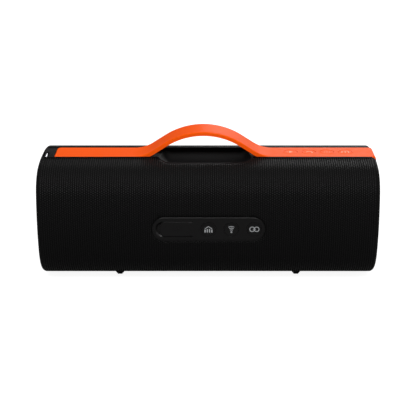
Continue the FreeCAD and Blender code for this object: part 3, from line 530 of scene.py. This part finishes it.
@dataclass(frozen=True)
class Metal:
    """Rolled, plated or turned metal with fine lines."""

    name: str
    colour: Colour
    roughness: float = 0.3
    lines: float = 4000.0
    depth: float = 0.006

    def material(self) -> bpy.types.Material:
        """Build the finish.

        Returns:
            The material.
        """
        material, t, shader = new_material(self.name)
        where = t.add("ShaderNodeTexCoord").outputs["Object"]
        lines = effect(t, Effect.BRUSHED, where, Lines_per_metre=self.lines)
        dust = effect(t, Effect.DUST, where, Amount=0.2)
        darker = tuple(c * 0.78 for c in self.colour) + (1,)
        colour = t.mix(lines.outputs[0], darker, (*self.colour, 1))
        t.join(colour, shader.inputs["Base Color"])
        t.join(t.scaled(dust.outputs[0], 0.3, self.roughness), shader.inputs["Roughness"])
        t.bump(lines.outputs[0], shader, 0.4, self.depth * MM)
        shader.inputs["Metallic"].default_value = 1.0
        return material


@dataclass(frozen=True)
class Board:
    """Lacquered circuit board with faint copper tracks."""

    name: str
    lacquer: Colour
    copper: Colour

    def material(self) -> bpy.types.Material:
        """Build the finish.

        Returns:
            The material.
        """
        material, t, shader = new_material(self.name)
        where = t.add("ShaderNodeTexCoord").outputs["Object"]
        tracks = effect(t, Effect.TRACKS, where)
        colour = t.mix(tracks.outputs[0], (*self.lacquer, 1), (*self.copper, 1))
        t.join(colour, shader.inputs["Base Color"])
        t.bump(tracks.outputs[0], shader, 1.0, 0.03 * MM)
        shader.inputs["Roughness"].default_value = 0.35
        return material


@dataclass(frozen=True)
class Knit:
    """Dark warp-knit cloth, read from the piece's own surface coordinates in metres."""

    name: str = "sleeve_knit"
    # gap colour: painted shade in the gaps between wales and between stitches
    gap_painted_shade: Colour = (0.0004, 0.0004, 0.0004)
    yarn: Colour = (0.0040, 0.0037, 0.0039)
    specular: float = 0.12
    depth: float = 0.28
    wale_pitch: float = 1.9
    stitch_pitch: float = 2.1

    def material(self) -> bpy.types.Material:
        """Build the finish.

        Returns:
            The material.
        """
        material, t, shader = new_material(self.name)
        where = t.add("ShaderNodeUVMap", uv_map="surface").outputs[0]
        knit = effect(t, Effect.KNIT, where,
                      Wale_pitch=self.wale_pitch * MM, Stitch_pitch=self.stitch_pitch * MM)
        # yarn colour and painted gap shade, mixed by the yarn share, which follows the knit's height
        colour = t.mix(knit.outputs[1], (*self.gap_painted_shade, 1), (*self.yarn, 1))
        shade = t.scaled(knit.outputs[3], 0.5, 0.75)
        grey = t.add("ShaderNodeCombineColor")
        for socket in grey.inputs:
            t.join(shade, socket)
        uneven = t.mix(1.0, colour, grey.outputs[0], "MULTIPLY")
        t.join(uneven, shader.inputs["Base Color"])
        t.bump(knit.outputs[0], shader, 1.0, self.depth * MM)
        t.join(knit.outputs[2], shader.inputs["Roughness"])
        shader.inputs["Specular IOR Level"].default_value = self.specular
        return material


FABRIC = Knit()
STRAP = Moulded("strap_orange", (0.98, 0.098, 0.003), (0.98, 0.106, 0.005), 0.42, 0.03, 3200, 0.012, 0.0)
BLACK = Moulded("black_moulding", (0.0040, 0.0036, 0.0038), (0.0056, 0.0050, 0.0054),
                0.42, 0.08, 2600, 0.02, 0.02)
PANEL = Moulded("panel_skin", (0.0020, 0.0018, 0.0019), (0.0027, 0.0024, 0.0026),
                0.30, 0.25, 3600, 0.012, 0.03)
RUBBER = Moulded("foot_rubber", (0.010, 0.010, 0.010), (0.018, 0.018, 0.018), 0.7, 0.35, 1800, 0.03, 0.2)
PRINT = Moulded("mark_print", (0.32, 0.33, 0.34), (0.40, 0.41, 0.42), 0.6, 0.3, 3000, 0.004, 0.05)
STRAP_PRINT = Moulded("strap_mark_print", (0.86, 0.42, 0.24), (0.92, 0.50, 0.30),
                      0.6, 0.1, 3000, 0.004, 0.05)
SHELL = Moulded("enclosure_moulding", (0.02, 0.02, 0.021), (0.03, 0.03, 0.031), 0.55, 0.45, 1500, 0.03, 0.3)
PULP = Moulded("cone_pulp", (0.012, 0.012, 0.012), (0.03, 0.03, 0.029), 0.85, 0.2, 900, 0.08, 0.2)
CHIP = Moulded("component_moulding", (0.012, 0.012, 0.013), (0.03, 0.03, 0.03), 0.4, 0.5, 3000, 0.01, 0.1)
WRAP = Moulded("cell_wrap", (0.02, 0.10, 0.22), (0.03, 0.13, 0.28), 0.25, 0.5, 900, 0.02, 0.2, coat=0.3)
SPRING = Metal("core_steel", (0.55, 0.55, 0.56), 0.3)
CHROME = Metal("plated_steel", (0.50, 0.50, 0.52), 0.26, 5200, 0.003)
DARK_STEEL = Metal("black_oxide_steel", (0.09, 0.09, 0.095), 0.4)
MAGNET = Metal("plated_magnet", (0.45, 0.45, 0.47), 0.35)
PLATE = Metal("radiator_plate", (0.16, 0.16, 0.17), 0.34, 3000, 0.01)
BOARD = Board("board_lacquer", (0.006, 0.05, 0.02), (0.03, 0.14, 0.05))

SLOT_FINISH = {
    "knit_fabric": FABRIC, "black_plastic": BLACK, "enclosure_plastic": SHELL, "seal_rubber": RUBBER,
    "orange_strap": STRAP, "spring_steel": SPRING, "polished_steel": CHROME, "panel_rubber": PANEL,
    "circuit_board": BOARD, "component_plastic": CHIP, "battery_wrap": WRAP, "screw_steel": DARK_STEEL,
    "basket_steel": DARK_STEEL, "magnet_steel": MAGNET, "cone_paper": PULP, "radiator_metal": PLATE,
}


def dress(piece: Piece, finish: Moulded | Metal | Board | Knit) -> None:
    """Give a piece one finish, built at its first use, in all its material slots."""
    piece.data.materials.clear()
    piece.data.materials.append(bpy.data.materials.get(finish.name) or finish.material())


# ---- body section
@dataclass
class Section:
    """The body's rounded outline, as arcs that meet smoothly, sampled once by arc length.

    It starts at the top middle and runs down the front, along the underside and up the back.
    """

    half_width: float
    middle: float
    top: float = 53.95 * MM
    bottom: float = BODY_BOTTOM
    top_corner: float = 27.5 * MM
    bottom_corner: float = 34.9 * MM
    top_crown: float = 2.3 * MM
    bottom_crown: float = 2.2 * MM
    upper_bulge: float = 2.4 * MM
    lower_bulge: float = 1.9 * MM

    def __post_init__(self) -> None:
        """Sample the outline: each arc is centre plus radius times (cosine, sine) of an even sweep."""
        top_y = self.half_width - self.top_corner - self.upper_bulge
        top_z = self.top - self.top_corner - self.top_crown
        low_y = self.half_width - self.bottom_corner - self.lower_bulge
        low_z = self.bottom - self.bottom_corner - self.bottom_crown
        crown = self.blend(top_y, self.top - top_z, self.top_corner)
        belly = self.blend(low_y, self.bottom - low_z, self.bottom_corner)
        upper = self.blend(top_z, self.half_width - top_y, self.top_corner)
        lower = self.blend(low_z, self.half_width - low_y, self.bottom_corner)
        a_crown = math.atan2(top_z - (self.top - crown), top_y)
        a_upper = math.atan2(top_z, top_y - (self.half_width - upper))
        a_lower = math.atan2(low_z, low_y - (self.half_width - lower))
        a_belly = math.atan2(low_z + (belly - self.bottom), low_y)
        half = math.pi / 2
        pieces = [
            (0, self.top - crown, crown, half, a_crown),
            (top_y, top_z, self.top_corner, a_crown, a_upper),
            (self.half_width - upper, 0, upper, a_upper, 0),
            (self.half_width - lower, 0, lower, 0, -a_lower),
            (low_y, -low_z, self.bottom_corner, -a_lower, -a_belly),
            (0, belly - self.bottom, belly, -a_belly, -half),
        ]
        across, up, angle = [], [], []
        for cy, cz, r, start, stop in pieces:
            a = np.linspace(start, stop, 240)[:-1]
            across.append(cy + r * np.cos(a))
            up.append(cz + r * np.sin(a))
            angle.append(a)
        y = np.concatenate(across)
        z = np.concatenate(up)
        a = np.concatenate(angle)
        y = np.concatenate([-y, [0.0], y[::-1]])
        z = np.concatenate([z, [-self.bottom], z[::-1]])
        a = np.concatenate([math.pi - a, [1.5 * math.pi], (a + 2 * math.pi)[::-1]])
        self.y, self.z, self.a = y, z, a
        self.s = np.concatenate([[0.0], np.cumsum(np.hypot(np.diff(y), np.diff(z)))])

    @staticmethod
    def blend(across: float, reach: float, corner: float) -> float:
        """Radius of the long arc that meets a corner arc smoothly and passes the widest point."""
        return (across**2 + reach**2 - corner**2) / (2 * (reach - corner))

    @property
    def length(self) -> float:
        """Length once round the outline."""
        return float(self.s[-1])

    def point(self, s: np.ndarray, inset: np.ndarray) -> tuple[np.ndarray, np.ndarray]:
        """Across and up at arc length s, drawn in along the normal by inset.

        Args:
            s: arc lengths.
            inset: how far each is drawn in.

        Returns:
            Places across and heights.
        """
        a = np.interp(s, self.s, self.a)
        y = np.interp(s, self.s, self.y) - inset * np.cos(a)
        z = np.interp(s, self.s, self.z) - inset * np.sin(a)
        return y, z + self.middle

    def front_at_height(self, z: np.ndarray) -> np.ndarray:
        """Arc length of the front side's point at a height above the middle."""
        half = len(self.s) // 2
        return np.interp(-z, -self.z[:half], self.s[:half])

    def underside_at(self, y: np.ndarray) -> np.ndarray:
        """Arc length of the underside's point at a distance across."""
        low = self.z < -0.7 * self.bottom
        return np.interp(y, self.y[low], self.s[low])


@dataclass
class Sleeve:
    """Knitted sleeve stretched over the body, turned in over both ends."""

    section: Section
    half_length: float
    end_round: float = 4.1 * MM
    lap: float = 6.5 * MM
    thickness: float = 0.8 * MM
    channel_half: float = 15.55 * MM
    scoop_r: float = 36.5 * MM
    scoop_reach: float = 30.0 * MM
    scoop_end: float = 21.5 * MM
    scoop_x: float = -2.0 * MM
    scoop_y: float = -4.0 * MM
    scoop_up: float = 79.45 * MM
    panel_flange: float = 1.5 * MM
    panel_gap: float = 0.15 * MM
    foot_half: float = 3.65 * MM
    foot_gap: float = 0.1 * MM
    columns: int = 176
    rows: int = 166

    def front_edge(self, x: np.ndarray) -> np.ndarray:
        """Arc length of the sleeve's front edge along the body.

        It is the channel's edge, or where the distance from the scoop's line first passes the
        scoop's radius, which falls to nothing over each end as the root of one minus the squared
        share of the end's reach.

        Args:
            x: places along the body.

        Returns:
            The arc length at each place.
        """
        part = self.section.s < self.section.length / 4
        away = np.hypot(self.section.y[part] - self.scoop_y, self.section.z[part] - self.scoop_up)
        start = int(np.argmin(away))
        past = np.maximum(np.abs(x - self.scoop_x) - self.scoop_reach, 0.0)
        radius = self.scoop_r * np.sqrt(np.maximum(1.0 - (past / self.scoop_end)**2, 0.0))
        scoop = np.interp(radius, away[start:], self.section.s[part][start:], left=0.0)
        straight = np.interp(self.channel_half, -self.section.y[part], self.section.s[part])
        return np.maximum(scoop, straight)

    def length_path(self) -> tuple[np.ndarray, np.ndarray, np.ndarray]:
        """Path from one turned-in edge to the other: place along X, inset, and distance travelled.

        Returns:
            Places along X, insets, and distances travelled.
        """
        r = self.end_round
        a = np.linspace(0, math.pi / 2, 9)
        face = np.linspace(self.lap, r, 4)[:-1]
        flat = np.linspace(-(self.half_length - r), self.half_length - r, self.columns)
        x_in = np.concatenate([np.full(3, -self.half_length), -(self.half_length - r) - r * np.cos(a)])
        inset_in = np.concatenate([face, r - r * np.sin(a)])
        x = np.concatenate([x_in[:-1], flat, -x_in[:-1][::-1]])
        inset = np.concatenate([inset_in[:-1], np.zeros(self.columns), inset_in[:-1][::-1]])
        far = np.concatenate([[0.0], np.cumsum(np.hypot(np.diff(x), np.diff(inset)))])
        return x, inset, far

    @staticmethod
    def slot_distance(u: np.ndarray, v: np.ndarray, reach: float,
                      radius: float) -> tuple[np.ndarray, ...]:
        """Signed distance from a round-ended slot: the distance from a segment less the radius.

        Args:
            u: places along the slot.
            v: places across it.
            reach: half length of the segment.
            radius: radius of the ends.

        Returns:
            The distance and the two parts of its direction.
        """
        du = np.sign(u) * np.maximum(np.abs(u) - reach, 0.0)
        away = np.hypot(du, v)
        safe = np.maximum(away, 1e-9)
        return away - radius, du / safe, v / safe

    @staticmethod
    def box_distance(u: np.ndarray, v: np.ndarray, a: float, b: float) -> tuple[np.ndarray, ...]:
        """Signed distance from a rectangle by its nearer side, and the direction of that side.

        Args:
            u: places along the first side.
            v: places along the second.
            a: half of the first side.
            b: half of the second.

        Returns:
            The distance and the two parts of its direction.
        """
        p = np.abs(u) - a
        q = np.abs(v) - b
        side = p > q
        return np.maximum(p, q), np.where(side, np.sign(u), 0.0), np.where(side, 0.0, np.sign(v))

    def build(self) -> Piece:
        """Make the sleeve: a grid over (path along the body, arc round it), snapped to its holes.

        Returns:
            The sleeve.
        """
        x_path, inset_path, far = self.length_path()
        share = np.linspace(0, 1, self.rows)
        x = np.repeat(x_path[:, None], self.rows, axis=1)
        start = self.front_edge(x_path)[:, None]
        crown = slice(0, 200)
        edge = np.interp(self.channel_half, -self.section.y[crown], self.section.s[crown])
        stop = self.section.length - edge
        s = start + share[None, :] * (stop - start)
        inset = np.repeat(inset_path[:, None], self.rows, axis=1)
        travel = np.repeat(far[:, None], self.rows, axis=1)
        y, z = self.section.point(s, inset)
        phi = np.full(x.shape, 1.0)
        cell = 0.62 * max(2 * self.half_length / self.columns, self.section.length / self.rows)
        panel_low, panel_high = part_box("control_panel")
        radius = (panel_high[2] - panel_low[2]) / 2 - self.panel_flange + self.panel_gap
        reach = (panel_high[0] - panel_low[0]) / 2 - self.panel_flange + self.panel_gap - radius
        cx = (panel_high[0] + panel_low[0]) / 2
        cz = (panel_high[2] + panel_low[2]) / 2
        front = y < -0.7 * self.section.half_width
        d, nx, nz = self.slot_distance(x - cx, z - cz, reach, radius)
        near = front & (np.abs(d) < cell)
        moved_z = z - d * nz - self.section.middle
        x = np.where(near, x - d * nx, x)
        s = np.where(near, self.section.front_at_height(moved_z), s)
        phi = np.where(front, np.where(near, 0.0, d), phi)
        for node in ("foot_left", "foot_right"):
            low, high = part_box(node)
            half_x = self.foot_half + self.foot_gap
            half_y = (high[1] - low[1]) / 2 + self.foot_gap
            cx = (low[0] + high[0]) / 2
            under = z < low[2] + 12 * MM
            d, nx, ny = self.box_distance(x - cx, y, half_x, half_y)
            near = under & (np.abs(d) < 0.8 * cell)
            x = np.where(near, x - d * nx, x)
            s = np.where(near, self.section.underside_at(y - d * ny), s)
            phi = np.where(under, np.minimum(phi, np.where(near, 0.0, d)), phi)
        y, z = self.section.point(s, inset)
        points = np.stack([x, y, z], axis=-1).reshape(-1, 3)
        uv = np.stack([np.where(inset > 0, travel - far[len(far) // 2], x), s], axis=-1).reshape(-1, 2)
        faces = self.keep_outside(grid_faces(len(x_path), self.rows), phi.ravel())
        used, order = np.unique(np.concatenate([np.asarray(f) for f in faces]), return_inverse=True)
        split = np.cumsum([len(f) for f in faces])[:-1]
        piece = make_object("knit_sleeve", points[used], np.split(order, split), uv[used])
        self.wide = float(stop - start.min())
        self.long = float(far[-1])
        wall = piece.modifiers.new("cloth", "SOLIDIFY")
        wall.thickness = self.thickness
        wall.offset = -1
        wall.use_even_offset = False
        return piece

    @staticmethod
    def keep_outside(quads: np.ndarray, phi: np.ndarray) -> list[list[int]]:
        """Keep faces outside the holes, and the outer half of a quad cut corner to corner by an outline.

        Args:
            quads: (n, 4) vertex numbers.
            phi: signed distance of each vertex from the nearest hole, 0 on its outline.

        Returns:
            The vertex numbers of each kept face.
        """
        at = phi[quads]
        tiny = 1e-7
        whole = at.min(axis=1) >= -tiny
        whole &= at.max(axis=1) > tiny
        mixed = (at.min(axis=1) < -tiny) & (at.max(axis=1) > tiny)
        faces = quads[whole].tolist()
        split = quads[mixed]
        for first, second in (((0, 1, 2), (0, 2, 3)), ((1, 2, 3), (1, 3, 0))):
            pair = np.abs(phi[split[:, first[0]]]) + np.abs(phi[split[:, first[2]]]) <= 2 * tiny
            for corners in (first, second):
                triangles = split[pair][:, corners]
                faces += triangles[phi[triangles].min(axis=1) >= -tiny].tolist()
        return faces


# ---- marks
@dataclass
class PanelMarks:
    """Light printed marks in the dished faces of the panel keys, and a raised one on the port cover."""

    dish_depth: float = 0.55 * MM
    dish_rim: float = 5.7 * MM
    line_width: float = 0.62 * MM

    def dish(self, node: str) -> Lay:
        """Mapping onto a key's dished face: the height of a sphere that passes its rim and its middle.

        Args:
            node: the key's node.

        Returns:
            The mapping.
        """
        low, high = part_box(node)
        cx = (low[0] + high[0]) / 2
        cz = (low[2] + high[2]) / 2
        face = low[1]
        ball = (self.dish_rim**2 + self.dish_depth**2) / (2 * self.dish_depth)

        def lay(p: np.ndarray, h: np.ndarray) -> np.ndarray:
            """Place plane points at a height in front of the dish.

            Args:
                p: (n, 2) plane points.
                h: their heights.

            Returns:
                (n, 3) places.
            """
            r2 = np.minimum(p[:, 0]**2 + p[:, 1]**2, self.dish_rim**2)
            y = face + self.dish_depth - ball + np.sqrt(ball**2 - r2) - h
            return np.stack([cx + p[:, 0], y, cz + p[:, 1]], axis=1)

        return lay

    def bass(self) -> Shapes:
        """A roof over four short bars.

        Returns:
            The shapes.
        """
        shapes = Shapes(self.dish("key_bass"))
        w = self.line_width
        shapes.stroke(line((-2.9 * MM, 0.5 * MM), (0.0, 2.5 * MM)), w)
        shapes.stroke(line((0.0, 2.5 * MM), (2.9 * MM, 0.5 * MM)), w)
        for i in range(4):
            x = (-3.0 + 2.0 * i) * MM
            top = (-0.7, -0.2, -0.2, -0.7)[i] * MM
            shapes.stroke(line((x, -2.7 * MM), (x, top)), 0.95 * MM)
        return shapes

    def wireless(self) -> Shapes:
        """A dot with three narrow arcs above it.

        Returns:
            The shapes.
        """
        shapes = Shapes(self.dish("key_wireless"))
        centre = (0.0, -2.7 * MM)
        shapes.disc(centre, 0.8 * MM)
        for radius in (2.1 * MM, 3.7 * MM, 5.3 * MM):
            shapes.stroke(arc(centre, radius, math.radians(64), math.radians(116)), self.line_width)
        return shapes

    def link(self) -> Shapes:
        """Two rings joined by a bar.

        Returns:
            The shapes.
        """
        shapes = Shapes(self.dish("key_link"))
        for side in (-1, 1):
            shapes.ring((side * 1.95 * MM, 0.0), 2.1 * MM, 0.72 * MM)
        shapes.stroke(line((-1.0 * MM, 0.0), (1.0 * MM, 0.0)), self.line_width)
        return shapes

    def plug(self) -> Shapes:
        """A small raised plug sign on the port cover, in the cover's own rubber.

        Returns:
            The shapes.
        """
        low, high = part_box("port_cover")
        cx = (low[0] + high[0]) / 2 + 1.5 * MM
        cz = (low[2] + high[2]) / 2

        def lay(p: np.ndarray, h: np.ndarray) -> np.ndarray:
            """Place plane points at a height in front of the cover."""
            return np.stack([cx + p[:, 0], low[1] - h, cz + p[:, 1]], axis=1)

        shapes = Shapes(lay, lift=0.18 * MM)
        body = np.concatenate([arc((-0.4 * MM, 0), 1.25 * MM, math.pi / 2, 1.5 * math.pi),
                               [[0.9 * MM, -1.25 * MM], [0.9 * MM, 1.25 * MM]]])
        shapes.plate(body)
        for side in (-1, 1):
            shapes.stroke(line((1.0 * MM, side * 0.6 * MM), (2.1 * MM, side * 0.6 * MM)), 0.4 * MM)
        shapes.stroke(line((-1.7 * MM, 0.0), (-3.0 * MM, 0.0)), 0.4 * MM)
        return shapes

    def build(self) -> list[tuple[Piece, str]]:
        """Make and dress the marks; each is returned with the body it rides on.

        Returns:
            Each mark and the body it rides on.
        """
        made = []
        for name, shapes, body, finish in (
            ("bass_mark", self.bass(), "key_bass", PRINT),
            ("wireless_mark", self.wireless(), "key_wireless", PRINT),
            ("link_mark", self.link(), "key_link", PRINT),
            ("plug_mark", self.plug(), "port_cover", PANEL),
        ):
            piece = shapes.build(name)
            dress(piece, finish)
            made.append((piece, body))
        return made


@dataclass
class PanelSkins:
    """Thin rubber webs of the panel: one round each key, and the living hinge of the port cover."""

    seat: float = 0.35 * MM
    key_r: float = 6.26 * MM
    web_r: float = 6.95 * MM
    web_dip: float = 0.34 * MM
    fixed_x: float = -13.0 * MM
    free_x: float = -16.5 * MM
    tuck: float = 0.04 * MM
    thickness: float = 0.12 * MM
    hinge_x: tuple[float, float] = (-17.0 * MM, -12.4 * MM)
    hinge_half: float = 6.3 * MM
    hinge_proud: float = 0.12 * MM

    def web(self, node: str) -> Piece:
        """Ring round a key, level with the seat outside and dished by half a wave towards the key.

        Args:
            node: the key's node

        Returns:
            The ring.
        """
        low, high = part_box(node)
        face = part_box("control_panel")[0][1] + self.seat
        turn = np.linspace(0, 2 * math.pi, 97)[:-1]
        share = np.linspace(0, 1, 9)
        a, s = np.meshgrid(turn, share, indexing="ij")
        r = self.key_r + (self.web_r - self.key_r) * s
        y = face - self.tuck + self.web_dip * 0.5 * (1 + np.cos(math.pi * s))
        x = (low[0] + high[0]) / 2 + r * np.cos(a)
        z = (low[2] + high[2]) / 2 + r * np.sin(a)
        points = np.stack([x, y, z], axis=2).reshape(-1, 3)
        return make_object(node.replace("key_", "key_web_"), points, grid_faces(97, 9) % len(points))

    def hinge(self) -> Piece:
        """Slim cushion over the cover's hinge edge, its height a product of two flattened bumps.

        Returns:
            The cushion.
        """
        low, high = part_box("control_panel")
        face = low[1] + self.seat
        up = np.linspace(-self.hinge_half, self.hinge_half, 33)
        x, z = np.meshgrid(np.linspace(*self.hinge_x, 33), up, indexing="ij")
        u = 2 * (x - self.hinge_x[0]) / (self.hinge_x[1] - self.hinge_x[0]) - 1
        rise = (1 - u**6) * (1 - (z / self.hinge_half)**10)
        y = face + 0.03 * MM - self.hinge_proud * rise
        points = np.stack([x, y, (low[2] + high[2]) / 2 + z], axis=2)
        return make_object("cover_hinge_skin", points.reshape(-1, 3), grid_faces(33, 33)[:, ::-1])

    def thicken(self, piece: Piece) -> None:
        """Give a skin its thickness behind its face, and the panel's finish.

        Args:
            piece: the skin.
        """
        wall = piece.modifiers.new("rubber", "SOLIDIFY")
        wall.thickness = self.thickness
        wall.offset = -1
        dress(piece, PANEL)

    def build(self) -> None:
        """Make, dress and place the webs and the hinge."""
        for node in ("key_bass", "key_wireless", "key_link"):
            piece = self.web(node)
            self.thicken(piece)
            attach(piece, "housing")
        piece = self.hinge()
        self.thicken(piece)
        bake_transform(piece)
        LOG.info("panel webs and cover hinge in place")


@dataclass
class StrapMarks:
    """Pale printed marks on the four keys of the strap."""

    line_width: float = 0.7 * MM

    @staticmethod
    def flat(node: str) -> Lay:
        """Mapping onto a key's flat top, read from the front.

        Args:
            node: the key's node.

        Returns:
            The mapping.
        """
        low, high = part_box(node)
        cx = (low[0] + high[0]) / 2
        cy = (low[1] + high[1]) / 2

        def lay(p: np.ndarray, h: np.ndarray) -> np.ndarray:
            """Place plane points at a height over the key."""
            return np.stack([cx + p[:, 0], cy + p[:, 1], high[2] + h], axis=1)

        return lay

    def play(self) -> Shapes:
        """A small solid triangle with a dot beside it.

        Returns:
            The shapes.
        """
        shapes = Shapes(self.flat("key_play"))
        shapes.plate(np.array([[-1.2, -2.3], [2.3, 0.0], [-1.2, 2.3]]) * MM)
        shapes.disc((-2.9 * MM, 0.0), 0.5 * MM)
        return shapes

    def voice(self) -> Shapes:
        """An arch that ends in a bar.

        Returns:
            The shapes.
        """
        shapes = Shapes(self.flat("key_voice"))
        shapes.stroke(arc((0.3 * MM, -1.2 * MM), 2.5 * MM, 0.0, 0.9 * math.pi), self.line_width)
        shapes.stroke(line((2.8 * MM, -1.2 * MM), (2.8 * MM, -2.6 * MM)), 1.1 * MM)
        return shapes

    def light(self) -> Shapes:
        """Three small dots in a row.

        Returns:
            The shapes.
        """
        shapes = Shapes(self.flat("key_light"))
        for i in (-1, 0, 1):
            shapes.disc((i * 2.3 * MM, 0.0), 0.5 * MM)
        return shapes

    def volume(self) -> Shapes:
        """Three bars under an arch.

        Returns:
            The shapes.
        """
        shapes = Shapes(self.flat("key_volume"))
        for i in (-1, 0, 1):
            shapes.stroke(line((i * 3.0 * MM, -2.2 * MM), (i * 3.0 * MM, 0.6 * MM)), self.line_width)
        for side in (-1, 1):
            shapes.stroke(arc((side * 1.5 * MM, 0.6 * MM), 1.5 * MM, 0.0, math.pi), self.line_width)
        return shapes

    def build(self) -> list[tuple[Piece, str]]:
        """Make and dress the marks; each is returned with the body it rides on.

        Returns:
            Each mark and the body it rides on.
        """
        made = []
        for shapes, body in ((self.play(), "key_play"), (self.voice(), "key_voice"),
                             (self.light(), "key_light"), (self.volume(), "key_volume")):
            piece = shapes.build(body.replace("key_", "strap_mark_"))
            dress(piece, STRAP_PRINT)
            made.append((piece, body))
        return made


# ---- the CAD nodes' finishes
def dress_nodes() -> None:
    """Give every carried-over node the finish of its material slot."""
    for entry in frame["record"]["subparts"]:
        node = bpy.data.objects.get(entry["node"])
        if node is None:
            LOG.warning("no object for node %s", entry["node"])
            continue
        dress(node, SLOT_FINISH[entry["material_slot"]])


# ---- studio
FLOOR = Moulded("pale_floor", (0.34, 0.34, 0.34), (0.36, 0.36, 0.36), 0.9, 0.0, 300, 0.001, 0.0)


@dataclass(frozen=True)
class LightBox:
    """A soft rectangular light aimed at a point."""

    name: str
    place: tuple[float, float, float]
    aim: tuple[float, float, float]
    size: tuple[float, float]
    watts: float

    def build(self) -> None:
        """Add the light to the scene, its -Z turned from its place towards its aim."""
        data = bpy.data.lights.new(self.name, "AREA")
        data.shape = "RECTANGLE"
        data.size, data.size_y = self.size
        data.energy = self.watts
        light = bpy.data.objects.new(self.name, data)
        light.location = self.place
        dx, dy, dz = (a - p for a, p in zip(self.aim, self.place))
        tilt = math.atan2(math.hypot(dx, dy), -dz)
        light.rotation_euler = (tilt, 0.0, math.atan2(dy, dx) - math.pi / 2)
        bpy.context.scene.collection.objects.link(light)


LIGHTS = (
    LightBox("key_light_box", (0.0, -1.25, 1.36), (0, 0, 0.06), (1.7, 0.5), 26),
    LightBox("top_light_box", (0.0, 0.6, 1.9), (0, 0, 0.1), (2.2, 1.2), 9),
    LightBox("side_light_box", (1.7, -0.8, 0.9), (0, 0, 0.05), (1.0, 1.2), 4),
    LightBox("back_light_box", (0.8, 2.6, 1.1), (0.1, 0, 0.1), (1.6, 1.0), 19),
)


@dataclass
class Studio:
    """Pale floor, soft lights and the camera."""

    target: tuple[float, float, float] = (0.0, 0.0, 0.057)
    distance: float = 1.052
    elevation: float = 20.0
    lens: float = 99.15
    floor_glow: float = 0.92

    def floor(self) -> None:
        """A wide, level, pale floor; its glow stands in for a lit table and keeps contact shadows faint."""
        x, y = np.meshgrid(np.linspace(-6, 6, 5), np.linspace(-6, 6, 5), indexing="ij")
        points = np.stack([x.ravel(), y.ravel(), np.zeros(x.size)], axis=1)
        floor = make_object("studio_floor", points, grid_faces(5, 5))
        dress(floor, FLOOR)
        shader = floor.data.materials[0].node_tree.nodes["Principled BSDF"]
        shader.inputs["Emission Color"].default_value = (1, 1, 1, 1)
        t = Tree(floor.data.materials[0].node_tree)
        seen = t.add("ShaderNodeLightPath").outputs["Is Camera Ray"]
        t.join(t.math("MULTIPLY", seen, self.floor_glow), shader.inputs["Emission Strength"])

    def build(self) -> None:
        """Set up floor, lights, world and camera."""
        self.floor()
        for light in LIGHTS:
            light.build()
        world = bpy.data.worlds.new("studio_world")
        world.use_nodes = True
        world.node_tree.nodes["Background"].inputs[0].default_value = (1, 1, 1, 1)
        world.node_tree.nodes["Background"].inputs[1].default_value = 0.2
        scene = bpy.context.scene
        scene.world = world
        scene.view_settings.view_transform = "Standard"
        scene.view_settings.look = "None"
        data = bpy.data.cameras.new("studio_camera")
        data.lens = self.lens
        data.sensor_width = 36.0
        data.clip_end = 50.0
        camera = bpy.data.objects.new("studio_camera", data)
        e = math.radians(self.elevation)
        x, y, z = self.target
        camera.location = (x, y - self.distance * math.cos(e), z + self.distance * math.sin(e))
        camera.rotation_euler = (math.pi / 2 - e, 0.0, 0.0)
        scene.collection.objects.link(camera)
        scene.camera = camera


def main() -> None:
    """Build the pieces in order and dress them."""
    logging.basicConfig(level=logging.INFO, format="%(message)s")
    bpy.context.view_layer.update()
    Studio().build()
    dress_nodes()
    low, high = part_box("fabric_sleeve")
    section = Section(half_width=high[1], middle=low[2] + BODY_BOTTOM)
    sleeve = Sleeve(section, half_length=high[0])
    cloth = sleeve.build()
    dress(cloth, FABRIC)
    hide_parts("fabric_sleeve")
    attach(cloth, "housing")
    LOG.info("knit_sleeve %d faces, cloth %.3f by %.3f m",
             len(cloth.data.polygons), sleeve.wide, sleeve.long)
    for piece, body in PanelMarks().build() + StrapMarks().build():
        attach(piece, body)
        LOG.info("%s rides on %s", piece.name, body)
    PanelSkins().build()


if __name__ == "__main__":
    main()
